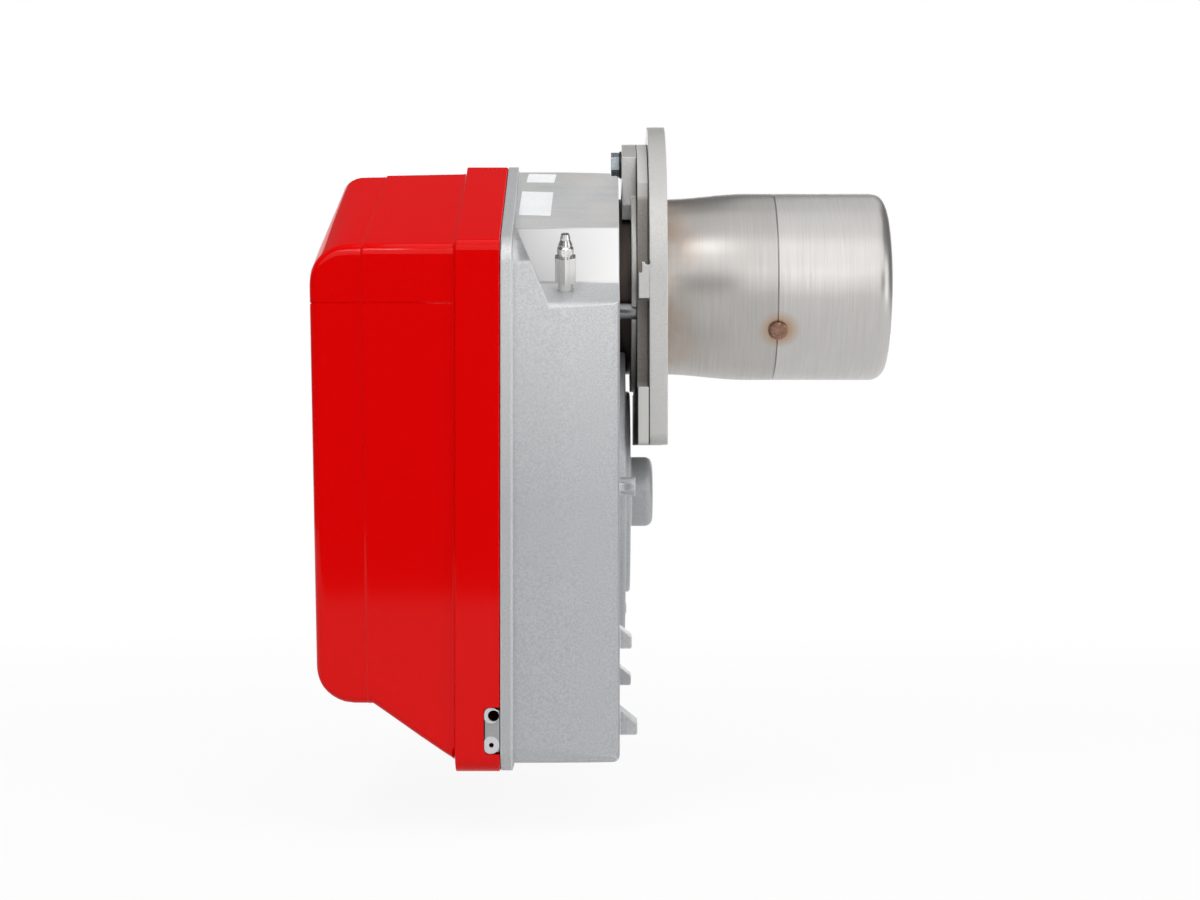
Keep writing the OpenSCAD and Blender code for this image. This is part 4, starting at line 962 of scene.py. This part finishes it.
    def shell(self) -> BMesh:
        """The hood's outer face, open in front.

        Returns:
            The mesh, in metres.
        """
        bm = bmesh.new()
        sides = [(x, self.side(*insets)) for x, insets in self.rings()]
        loops = [self.ring(bm, x, near) for x, near in sides]
        round_trip = [left + top + right[::-1] + low[::-1] for left, right, top, low in loops]
        for first, second in zip(round_trip, round_trip[1:]):
            bridge(bm, first, second)
        left, right, top, low = loops[0]
        rows = [[left[0], *low, right[0]]]
        for k, (y, z, groove) in list(enumerate(sides[0][1]))[1:-1]:
            x = self.rear(z) + (self.groove_depth if groove else 0.0)
            inner = [bm.verts.new((x * MM, v * MM, z * MM)) for v, _ in spread((-y, 0), (y, 0), self.across)]
            rows.append([left[k], *inner, right[k]])
        rows.append([left[-1], *top, right[-1]])
        for a, b in zip(rows, rows[1:]):
            for i in range(self.across):
                bm.faces.new((a[i], a[i + 1], b[i + 1], b[i]))
        return bm

    def build(self) -> None:
        """Builds the hood with its wall, its openings and its screw bosses."""
        obj = self.shop.from_bmesh("red_hood", self.shell(), 50.0)
        solid = obj.modifiers.new("wall", "SOLIDIFY")
        solid.thickness = self.wall * MM
        solid.offset = -1.0
        solid.use_even_offset = True
        bake(obj)
        carve(obj, self.cutters())
        self.add_bosses(obj)
        obj.data.set_sharp_from_angle(angle=math.radians(40))
        even_normals(obj)
        self.shop.finish_piece(obj, ["hood"])

    def rear(self, z: float) -> float:
        """Place of the rear face at a height."""
        return self.back_x + self.lean(self.back_x, z)

    def cutters(self) -> list[BMesh]:
        """Closed shapes of the hood's openings.

        Returns:
            The cutters, in metres.
        """
        hose = rounded([(-147, -30, 0), (-118, -30, 5), (-118, 30, 5), (-176, 30, 5), (-176, -30, 5),
                        (-147, -30, 0)], 6)[1:-1]
        y, z = self.button_spot
        shapes = [prism(hose, self.floor_z - 1, self.heel_z + 8, "z"),
                  prism(disc(y, z, 10.0, 64), self.back_x - 1, self.back_x + 12, "x")]
        for y, z in self.screw_spots:
            shapes += [prism(disc(y, z, 5.0, 48), self.back_x - 1, self.rear(z) + 1.0, "x"),
                       prism(disc(y, z, 2.55, 32), self.back_x - 1, self.back_x + 14, "x")]
        outside, inside = self.front_x + 1, self.front_x - 8.5
        low, high = self.notch_span
        notch = rounded([(outside, low, 0), (inside, low, 3), (inside, high, 3), (outside, high, 0)], 6)
        shapes.append(prism(notch, -self.half_w - 1, -self.half_w + 12, "y"))
        return [metres(shape) for shape in shapes]

    def add_bosses(self, obj: bpy.types.Object) -> None:
        """Adds the bosses that the hood's screws go through.

        Args:
            obj: the hood.
        """
        bm = bmesh.new()
        bm.from_mesh(obj.data)
        for y, z in self.screw_spots:
            x0, x1 = self.rear(z) + 2.3, self.back_x + 11
            boss = lathe([(x0, 2.6), (x0, 8.0), (x1 - 0.5, 8.0), (x1, 7.5), (x1, 2.6)], 48)
            bmesh.ops.translate(boss, vec=(0, y, z), verts=boss.verts)
            absorb(bm, metres(boss))
        bmesh.ops.recalc_face_normals(bm, faces=bm.faces)
        bm.to_mesh(obj.data)
        bm.free()


@dataclass
class CableEntry:
    """The cable entry in the hood's near-side band: two soft pads with a bar between them."""

    shop: Workshop
    bar_hole: float = 3.4
    wide_hole: float = 3.0
    narrow_hole: float = 1.3
    rear_round: float = 3.0

    def build(self) -> None:
        """Builds the bar and the two pads."""
        low, high = (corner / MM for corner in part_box("grommet_plate"))
        x0, x1, z0, z1, face = low.x, high.x - 0.5, low.z, high.z, low.y
        holes = ((x1 - 3.1, z1 - 4.1), (x1 - 4.2, z0 + 4.6))

        def drill(name: str, bm: BMesh, node: str, *radii: float) -> None:
            """Finishes a piece with both holes through it.

            Args:
                name: the piece's name.
                bm: its mesh in millimetres.
                node: the node it stands for.
                radii: the two holes' radii.
            """
            obj = self.shop.from_bmesh(name, metres(bm))
            carve(obj, [metres(prism(disc(x, z, r, 48), face - 1, high.y + 1, "y"))
                        for (x, z), r in zip(holes, radii)])
            self.shop.finish_piece(obj, [node])

        bar = self.pad(x0 + 0.4, x1, z0 + 1.0, z1 - 1.0, 1.0)
        bar_mesh = prism(bar, face + 0.4, high.y, "y")
        drill("entry_bar", bar_mesh, "grommet_plate", self.bar_hole, self.bar_hole)
        bm = bmesh.new()
        for z, top in ((z1 - 8.2, z1), (z0, z0 + 9.2)):
            outline = self.pad(x0, x1, z, top, (top - z) / 2 - 0.1)
            for depth, start, end in ((0.0, face + 0.25, face + 2.0), (0.35, face - 0.1, face + 0.25)):
                absorb(bm, prism(self.inset(outline, depth), start, end, "y"))
        drill("entry_pads", bm, "cable_grommets", self.wide_hole, self.narrow_hole)

    def pad(self, x0: float, x1: float, z0: float, z1: float, front_r: float) -> list[Pair]:
        """A pad's outline with rounded corners.

        Args:
            x0: rear edge.
            x1: front edge.
            z0: bottom.
            z1: top.
            front_r: radius of the front corners.
        Returns:
            The outline in the order x, z.
        """
        middle, r = (x0 + x1) / 2, self.rear_round
        corners = [(middle, z0, 0), (x1, z0, front_r), (x1, z1, front_r), (x0, z1, r), (x0, z0, r),
                   (middle, z0, 0)]
        return rounded(corners, 8)[1:-1]

    @staticmethod
    def inset(outline: list[Pair], depth: float) -> list[Pair]:
        """Shrinks an outline towards its middle.

        Args:
            outline: its points.
            depth: how far its rear and front edges move.
        Returns:
            The smaller outline.
        """
        cx = (min(p[0] for p in outline) + max(p[0] for p in outline)) / 2
        cz = (min(p[1] for p in outline) + max(p[1] for p in outline)) / 2
        half = max(p[0] for p in outline) - cx
        k = 1 - depth / half
        return [(cx + (x - cx) * k, cz + (z - cz) * k) for x, z in outline]


class Drive(Enum):
    """Recess in a screw's head."""

    HEX = "hex"
    CROSS = "cross"


@dataclass
class ScrewKind:
    """One kind of screw: the node it stands for and its shape, in millimetres, along +X."""

    node: str
    name: str
    head_r: float
    head_h: float
    shank_r: float
    dome: float
    drive: Drive
    drive_r: float
    radial: bool = False
    bend: float = 1.2
    pitch: float = 0.8
    thread: float = 0.35

    def profile(self, length: float) -> list[Pair]:
        """Half outline from the head's top to the shank's tip, with a thread.

        Args:
            length: length over all.
        Returns:
            Points (x, radius) in millimetres.
        """
        turns = [self.bend * i / 8 for i in range(9)]
        top = [(self.dome * (1 - math.cos(a)), self.head_r * math.sin(a) / math.sin(self.bend))
               for a in turns]
        line = top + [(self.head_h - 0.25, self.head_r), (self.head_h, self.head_r - 0.25),
                      (self.head_h, self.shank_r)]
        x = self.head_h + 1.0
        while x + self.pitch < length - 0.6:
            line += [(x, self.shank_r), (x + self.pitch / 2, self.shank_r - self.thread)]
            x += self.pitch
        return line + [(length - 0.5, self.shank_r - 0.1), (length, self.shank_r - 0.6), (length, 0.0)]

    def mesh(self, length: float) -> BMesh:
        """The screw's mesh before its recess is cut."""
        return metres(lathe(self.profile(length), 36, closed=False))

    def recess(self) -> list[BMesh]:
        """Closed shape of the head's recess.

        Returns:
            A list with the one cutter.
        """
        r, w = self.drive_r, self.drive_r * 0.2
        outline = [(r, w), (w, w), (w, r), (-w, r), (-w, w), (-r, w), (-r, -w), (-w, -w), (-w, -r), (w, -r),
                   (w, -w), (r, -w)]
        if self.drive is Drive.HEX:
            outline = disc(0, 0, r, 6)
        return [metres(prism(outline, -1, min(self.head_h * 0.72, 1.9), "x"))]


SCREWS: tuple[ScrewKind, ...] = (
    ScrewKind("plate_screws", "plate_fixing_screws", 4.2, 3.0, 1.9, 0.8, Drive.CROSS, 2.2),
    ScrewKind("pump_screws", "pump_cap_screws", 3.6, 3.0, 2.0, 0.15, Drive.HEX, 1.8),
    ScrewKind("hood_screws", "hood_fixing_screws", 4.5, 2.6, 2.5, 0.7, Drive.CROSS, 2.5),
    ScrewKind("tube_screws", "tube_dome_screws", 5.5, 2.9, 2.5, 2.1, Drive.CROSS, 0.0, radial=True),
)


# Length over all of the tube's screws, in millimetres.
RADIAL_LENGTH = 7.9


class Fasteners:
    """Screws set in rows by a node tree, one baked piece for each node."""

    def __init__(self, shop: Workshop) -> None:
        """Args: shop: the workshop."""
        self.shop = shop
        self.tree, self.sockets = self.make_tree()

    @staticmethod
    def make_tree() -> tuple[bpy.types.NodeTree, dict[str, str]]:
        """Makes the tree that sets a screw on each point, turned to face the point's direction.

        Returns:
            The tree, and the identifier of each input by name.
        """
        group = bpy.data.node_groups.new("screw_rows", "GeometryNodeTree")
        face, sockets = group.interface, {}
        face.new_socket("Geometry", in_out="INPUT", socket_type="NodeSocketGeometry")
        for name, kind in (("Screw", "Object"), ("Finish", "Material"), ("Seed", "Int"), ("Spin", "Float")):
            sockets[name] = face.new_socket(name, in_out="INPUT", socket_type=f"NodeSocket{kind}").identifier
        face.new_socket("Geometry", in_out="OUTPUT", socket_type="NodeSocketGeometry")
        tree = Tree(group)
        add = tree.add
        start, end = add("NodeGroupInput"), add("NodeGroupOutput")
        facing = add("GeometryNodeInputNamedAttribute", {"data_type": "FLOAT_VECTOR"}, Name="facing")
        align = add("FunctionNodeAlignRotationToVector", {"axis": "X"})
        chance = add("FunctionNodeRandomValue", {"data_type": "FLOAT"})
        twist = add("FunctionNodeAxisAngleToRotation", Axis=(1, 0, 0))
        turned = add("FunctionNodeRotateRotation", {"rotation_space": "LOCAL"})
        screw, put = add("GeometryNodeObjectInfo"), add("GeometryNodeInstanceOnPoints")
        real, dress = add("GeometryNodeRealizeInstances"), add("GeometryNodeSetMaterial")
        for row in (
            (facing, "Attribute", align, "Vector"),
            (start, "Spin", chance, 3),
            (start, "Seed", chance, "Seed"),
            (chance, 1, twist, "Angle"),
            (align, "Rotation", turned, "Rotation"),
            (twist, "Rotation", turned, "Rotate By"),
            (start, "Screw", screw, "Object"),
            (start, "Geometry", put, "Points"),
            (screw, "Geometry", put, "Instance"),
            (turned, "Rotation", put, "Rotation"),
            (put, "Instances", real, "Geometry"),
            (real, "Geometry", dress, "Geometry"),
            (start, "Finish", dress, "Material"),
            (dress, "Geometry", end, "Geometry"),
        ):
            tree.link(*row)
        return group, sockets

    def build(self) -> None:
        """Builds every kind of screw."""
        for seed, kind in enumerate(SCREWS, 1):
            self.row(kind, seed)

    def row(self, kind: ScrewKind, seed: int) -> None:
        """Builds the screws of one node.

        Args:
            kind: the screw.
            seed: seed of the heads' random turns.
        """
        spots, aims, lengths = [], [], []
        for low, high in self.solids(kind.node):
            middle = (low + high) / 2
            if kind.radial:
                out = Vector((0, middle.y, middle.z)).normalized()
                spots.append(Vector((middle.x, 0, 0)) + out * self.reach(kind.node, out))
                aims.append(-out)
                lengths.append(RADIAL_LENGTH)
            else:
                spots.append(Vector((low.x, middle.y, middle.z)))
                aims.append(Vector((1, 0, 0)))
                lengths.append((high.x - low.x) / MM)
        one = self.shop.from_bmesh("one_screw", kind.mesh(min(lengths)), 30.0)
        if kind.drive_r:
            carve(one, kind.recess())
        points = bpy.data.meshes.new(kind.name)
        points.from_pydata([tuple(s) for s in spots], [], [])
        facing = points.attributes.new("facing", "FLOAT_VECTOR", "POINT")
        for i, aim in enumerate(aims):
            facing.data[i].vector = aim
        obj = add_object(kind.name, points)
        mod = obj.modifiers.new("rows", "NODES")
        mod.node_group = self.tree
        finish = self.shop.materials[self.shop.slots[kind.node]]
        for name, value in (("Screw", one), ("Finish", finish), ("Seed", seed), ("Spin", 2 * math.pi)):
            mod[self.sockets[name]] = value
        bake(obj, keep=True)
        remove(one)
        self.shop.finish_piece(obj, [kind.node])

    def reach(self, node: str, out: Vector) -> float:
        """How far a node reaches along a direction from the tube's axis."""
        return max(v.co.dot(out) for v in self.shop.nodes[node].data.vertices)

    def solids(self, node: str) -> list[tuple[Vector, Vector]]:
        """Boxes of the separate solids of a node.

        Args:
            node: the node.
        Returns:
            Lowest and highest corner of each solid.
        """
        bm = bmesh.new()
        bm.from_mesh(self.shop.nodes[node].data)
        bmesh.ops.remove_doubles(bm, verts=bm.verts, dist=MERGE)
        left, boxes = set(bm.verts), []
        while left:
            stack = [left.pop()]
            group = list(stack)
            while stack:
                for edge in stack.pop().link_edges:
                    for v in edge.verts:
                        if v in left:
                            left.discard(v)
                            stack.append(v)
                            group.append(v)
            corners = [[f(v.co[i] for v in group) for i in range(3)] for f in (min, max)]
            boxes.append((Vector(corners[0]), Vector(corners[1])))
        bm.free()
        return sorted(boxes, key=lambda box: tuple(box[0]))


@dataclass
class Stickers:
    """Blank pale stickers on the housing's sloping roof."""

    shop: Workshop
    eye: Vector
    focal: float
    patches: tuple[tuple[Pair, ...], ...] = (
        ((518.3, 215.0), (550.5, 216.0), (553.3, 192.4), (522.0, 191.6)),
        ((526.5, 182.3), (554.0, 182.8), (556.5, 174.6), (529.0, 174.0)),
    )
    lift: float = 0.12 * MM

    def build(self) -> None:
        """Lays each sticker on the housing where the photograph shows it."""
        mesh = self.shop.nodes["fan_housing"].data
        tree = BVHTree.FromPolygons([v.co for v in mesh.vertices], [tuple(p.vertices) for p in mesh.polygons])
        for number, patch in enumerate(self.patches, 1):
            bm = bmesh.new()
            corners, normal = [], Vector()
            for px, py in patch:
                aim = ((px - PHOTO_WIDTH / 2) / self.focal, 1.0, (PHOTO_HEIGHT / 2 - py) / self.focal)
                hit, facing, _, _ = tree.ray_cast(self.eye, Vector(aim).normalized())
                corners.append(hit)
                normal += facing
            normal.normalize()
            low = [bm.verts.new(c + normal * 0.01 * MM) for c in corners]
            high = [bm.verts.new(c + normal * self.lift) for c in corners]
            bm.faces.new(high)
            bm.faces.new(low[::-1])
            bridge(bm, low, high)
            obj = self.shop.from_bmesh(f"blank_sticker_{number}", bm)
            obj.data.materials.append(self.shop.paper)
            self.shop.finish_piece(obj, [], "grey_plastic", "burner")


# Name, place, target, width and height in metres, and watts.
LAMPS: tuple[tuple[str, Point, Point, Pair, float], ...] = (
    ("sky_front", (0.10, -1.90, 1.32), (0.0, 0, -0.08), (3.4, 1.9), 28.5),
    ("tube_front", (0.26, -1.80, 0.12), (0.06, 0, 0.0), (0.46, 0.80), 2.6),
    ("top", (0.35, -0.28, 1.50), (0.35, -0.28, 0.0), (1.3, 1.25), 4.8),
    ("strip", (-0.42, -0.90, 1.05), (-0.15, -0.1, 0.0), (0.36, 0.07), 2.4),
    ("rear_left", (-1.35, -0.35, 0.20), (-0.1, 0, -0.08), (0.5, 1.2), 3.0),
    ("crown", (-0.15, -0.35, 1.40), (-0.12, -0.1, 0.05), (0.9, 0.8), 5.5),
    ("tube_top", (0.43, 0.80, 1.35), (0.09, 0, 0.05), (0.75, 0.95), 1.7),
    ("right", (1.25, -0.75, 0.10), (0.06, 0, 0.0), (0.6, 1.1), 4.0),
    ("far_side", (0.20, 1.70, 0.30), (0.0, 0, -0.08), (1.6, 0.7), 8.0),
)
MATT_LAMPS = ("rear_left", "crown")


@dataclass
class Studio:
    """Floor, backdrop, lamps and camera. Lengths are in metres, the lens in millimetres."""

    eye: Point = (-0.0375, -1.300, -0.097)
    lens: float = 65.5
    floor_z: float = -0.30
    half_width: float = 3.0
    bend: float = 0.6
    wall_y: float = 1.4

    def build(self) -> None:
        """Builds the whole studio."""
        self.backdrop()
        for row in LAMPS:
            self.lamp(*row)
        self.world()
        self.camera()

    def backdrop(self) -> None:
        """Builds a pale floor that runs up into a wall behind the burner."""
        bm = bmesh.new()
        turns = [math.radians(a) for a in range(0, 91, 6)]
        curve = [(self.wall_y + self.bend * math.sin(a), self.floor_z + self.bend * (1 - math.cos(a)))
                 for a in turns]
        line = [(-2.0, self.floor_z), *curve, (2.0, 1.0)]
        rows = [[bm.verts.new((x, y, z)) for x in (-self.half_width, self.half_width)] for y, z in line]
        for a, b in zip(rows, rows[1:]):
            bm.faces.new((a[0], a[1], b[1], b[0]))
        mesh = to_mesh("floor", bm)
        mesh.polygons.foreach_set("use_smooth", [True] * len(mesh.polygons))
        obj = add_object("floor", mesh)
        obj.data.materials.append(self.floor_material())

    @staticmethod
    def floor_material() -> bpy.types.Material:
        """A floor that lights the burner as grey, and looks white to the camera and in gloss.

        Returns:
            The material.
        """
        material = bpy.data.materials.new("pale_floor")
        g = Graph(material, "ShaderNodeMixShader")
        path = g.add("ShaderNodeLightPath")
        seen = g.add("ShaderNodeMath", {"operation": "MAXIMUM"})
        g.link(path, "Is Camera Ray", seen, 0)
        g.link(path, "Is Glossy Ray", seen, 1)
        reach = g.add("ShaderNodeVectorMath", {"operation": "LENGTH"})
        g.link(g.coords, "Object", reach, 0)
        g.link(g.all_of(seen, g.ramp(reach, "Value", 0.6, 1.3, 0.92, 1.0)), 0, g.shader, 0)
        g.link(g.add("ShaderNodeBsdfDiffuse", Color=(0.8, 0.8, 0.8, 1)), 0, g.shader, 1)
        g.link(g.add("ShaderNodeEmission", Color=(1, 1, 1, 1)), 0, g.shader, 2)
        return material

    @staticmethod
    def lamp(name: str, place: Point, target: Point, size: Pair, power: float) -> None:
        """Adds a soft rectangular lamp, which gloss mirrors unless it is one of MATT_LAMPS.

        Args:
            name: the lamp's name.
            place: where it stands.
            target: what it points at.
            size: width and height.
            power: watts.
        """
        data = bpy.data.lights.new(name, "AREA")
        data.shape = "RECTANGLE"
        data.size, data.size_y = size
        data.energy = power
        obj = add_object(name, data)
        obj.location = place
        obj.visible_glossy = name not in MATT_LAMPS
        obj.rotation_euler = (Vector(target) - Vector(place)).to_track_quat("-Z", "Y").to_euler()

    @staticmethod
    def world() -> None:
        """Adds an even dim surround that the camera sees as white."""
        world = bpy.data.worlds.new("surround")
        bpy.context.scene.world = world
        world.use_nodes = True
        tree = Tree(world.node_tree)
        split, fade = tree.add("ShaderNodeSeparateXYZ"), tree.add("ShaderNodeValToRGB")
        for stop, place, colour in zip(fade.color_ramp.elements, (0.46, 0.75), ((0.13, 0.13, 0.13, 1),
                                                                                (0.15, 0.15, 0.155, 1))):
            stop.position, stop.color = place, colour
        level = tree.add("ShaderNodeMapRange", From_Min=-1.0)
        pick = tree.add("ShaderNodeMix", {"data_type": "RGBA"})
        pick.inputs[7].default_value = (1, 1, 1, 1)
        tree.link(tree.add("ShaderNodeTexCoord"), "Generated", split, 0)
        tree.link(split, "Z", level, "Value")
        tree.link(level, "Result", fade, "Fac")
        tree.link(tree.add("ShaderNodeLightPath"), "Is Camera Ray", pick, 0)
        tree.link(fade, "Color", pick, 6)
        back = world.node_tree.nodes["Background"]
        back.inputs["Strength"].default_value = 1.0
        tree.link(pick, 2, back, "Color")

    def camera(self) -> None:
        """Adds the photograph's camera: level, square to the burner's side."""
        data = bpy.data.cameras.new("camera")
        data.lens = self.lens
        data.sensor_width = SENSOR
        data.clip_start = 0.05
        data.clip_end = 20.0
        obj = add_object("camera", data)
        obj.location = self.eye
        obj.rotation_euler = (math.radians(90), 0, 0)
        bpy.context.scene.camera = obj


# Node, the name of the piece that stands for it, width of its rounded edges in millimetres, and
# the angle of smooth shading where it isn't the usual one.
REFINED: tuple[tuple[str | float, ...], ...] = (
    ("fan_housing", "housing_casting", 0.0, 20.0),
    ("boiler_flange", "flange_casting", 0.9),
    ("flange_spacer", "spacer_casting", 0.4),
    ("burner_flange", "collar_casting", 0.5),
    ("flange_bolt", "top_bolt", 0.4),
    ("flange_washer", "top_washer", 0.2),
    ("test_nipple", "pressure_nipple", 0.25),
    ("control_base", "control_plinth", 1.0),
    ("control_box", "control_unit", 0.7),
    ("ignition_transformer", "transformer_block", 1.6),
    ("transformer_bushings", "transformer_insulators", 0.3),
    ("capacitor", "motor_capacitor", 0.8),
    ("capacitor_clip", "capacitor_bracket", 0.3),
    ("pump_body", "pump_block", 0.5),
    ("pump_cover", "pump_lid", 0.5),
    ("plug_socket", "plug_housing", 0.6),
    ("photocell", "flame_sensor", 0.3),
    ("solenoid_coil", "valve_coil", 0.9),
    ("coil_nut", "valve_nut", 0.3),
    ("motor_front_bell", "front_bell", 0.4),
    ("motor_rear_bell", "rear_bell", 0.4),
    ("motor_shell", "motor_case", 0.25),
    ("head_cover", "cover_casting", 0.5),
    ("volute_plate", "air_plate", 0.25),
    ("hood_posts", "hood_pillars", 0.4),
    ("jack_body", "jack_case", 0.3),
    ("reset_button", "reset_key", 0.4),
    ("damper_lever", "damper_arm", 0.2),
    ("nozzle_line", "nozzle_pipe", 0.2),
    ("head_screw", "head_adjuster", 0.2),
    ("fan_wheel", "fan_rotor", 0.0),
)


@dataclass(frozen=True)
class Run:
    """A round run through the hood, in millimetres, that may go on straight to a place along the tube."""

    route: tuple[Point, ...]
    radius: float
    straight_to: float | None = None


OIL_RUN = Run((
    (-163, -21, -111.7), (-163, -28, -111.7), (-163, -35, -111.7), (-164, -43, -102), (-161, -46, -60),
    (-152, -32, -14), (-146, -12, -2), (-138, 0, 0), (-132, 0, 0),
), 3.0, -113.0)
JACK_RUN = Run((
    (-163, 21, -111.7), (-163, 28, -111.7), (-163, 35, -111.7), (-149, 54, -116), (-118, 72, -134),
    (-96, 89.66, -147), (-92, 93.66, -144), (-92, 93.66, -140), (-92, 93.66, -138),
), 2.0)
LEAD_RUNS = (
    Run((
        (-156.2, 85, -171.5), (-176, 84, -160), (-178, 76, -120), (-170, 60, -55), (-157, 34, -18),
        (-142, 16, -8), (-128, 14, -8),
    ), 3.0, 48.0),
    Run((
        (-156.2, 117, -171.5), (-177, 114, -150), (-180, 100, -90), (-172, 62, -22), (-165, 28, 6),
        (-160, 0, 12), (-149, -17, 9), (-135, -15.5, -4), (-128, -14, -8),
    ), 3.0, 48.0),
)


@dataclass
class Pipes:
    """The two copper pipes and the two ignition leads, drawn smooth along their routes."""

    shop: Workshop
    boot_front: float = -140.2
    sides: int = 20
    steps: int = 8

    def build(self) -> None:
        """Builds every run."""
        for node, name, runs in (
            ("oil_pipe", "oil_line", (OIL_RUN,)),
            ("jack_pipe", "jack_line", (JACK_RUN,)),
            ("ignition_leads", "spark_leads", LEAD_RUNS),
        ):
            bm = bmesh.new()
            for run in runs:
                self.sweep(bm, run)
                if node == "ignition_leads":
                    self.boot(bm, run.route[0])
            self.shop.finish_piece(self.shop.from_bmesh(name, bm, 50.0), [node])

    def spots(self, run: Run) -> list[Vector]:
        """Points of the smooth curve through a run's route.

        Args:
            run: the run.
        Returns:
            The points in metres.
        """
        p = [Vector(point) * MM for point in run.route]
        out = []
        for i in range(len(p) - 1):
            a, b, c, d = p[max(i - 1, 0)], p[i], p[i + 1], p[min(i + 2, len(p) - 1)]
            for k in range(self.steps):
                u = k / self.steps
                out.append(0.5 * (2 * b + (c - a) * u + (2 * a - 5 * b + 4 * c - d) * u * u
                                  + (3 * b - a - 3 * c + d) * u ** 3))
        out.append(p[-1])
        if run.straight_to is not None:
            out.append(Vector((run.straight_to * MM, p[-1].y, p[-1].z)))
        return out

    def sweep(self, bm: BMesh, run: Run) -> None:
        """Adds one run as a closed round tube.

        Args:
            bm: mesh to add to.
            run: the run.
        """
        line = self.spots(run)
        side, rings = Vector((0, 0.6, 0.8)), []
        circle = disc(0, 0, 1, self.sides)
        for i, spot in enumerate(line):
            along = (line[min(i + 1, len(line) - 1)] - line[max(i - 1, 0)]).normalized()
            side = (side - along * side.dot(along)).normalized()
            across = along.cross(side)
            rings.append([bm.verts.new(spot + run.radius * MM * (c * side + s * across)) for c, s in circle])
        for a, b in zip(rings, rings[1:]):
            for k in range(self.sides):
                j = (k + 1) % self.sides
                bm.faces.new((a[k], b[k], b[j], a[j]))
        bm.faces.new(rings[0])
        bm.faces.new(tuple(reversed(rings[-1])))

    def boot(self, bm: BMesh, start: Point) -> None:
        """Adds the rubber cup that a lead ends in.

        Args:
            bm: mesh to add to.
            start: the lead's end inside the cup, in millimetres.
        """
        x = self.boot_front
        profile = [
            (x - 18.5, 0), (x - 18.5, 6.6), (x - 18.0, 7.6), (x - 17.0, 8.0), (x - 5, 8.0), (x - 4.6, 7.5),
            (x - 3.8, 7.5), (x - 3.4, 8.0), (x - 0.4, 8.0), (x, 7.6), (x, 5.3), (x - 13.7, 5.3),
            (x - 13.7, 0),
        ]
        cup = lathe([(px * MM, r * MM) for px, r in profile], 40, closed=False)
        bmesh.ops.translate(cup, verts=cup.verts, vec=Vector((0, start[1], start[2])) * MM)
        absorb(bm, cup)


def main() -> None:
    """Builds the burner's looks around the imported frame."""
    logging.basicConfig(level=logging.INFO, format="%(name)s: %(message)s")
    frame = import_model()
    bpy.context.scene.view_settings.view_transform = "Standard"
    shop = Workshop(frame)
    shop.dress_nodes()
    for node, name, bevel, *smooth in REFINED:
        shop.refined(node, name, bevel * MM, *smooth)
    for maker in (BlastTube, Hood, CableEntry, Fasteners, Pipes):
        maker(shop).build()
    studio = Studio()
    Stickers(shop, Vector(studio.eye), studio.lens / SENSOR * PHOTO_WIDTH).build()
    studio.build()


if __name__ == "__main__":
    main()
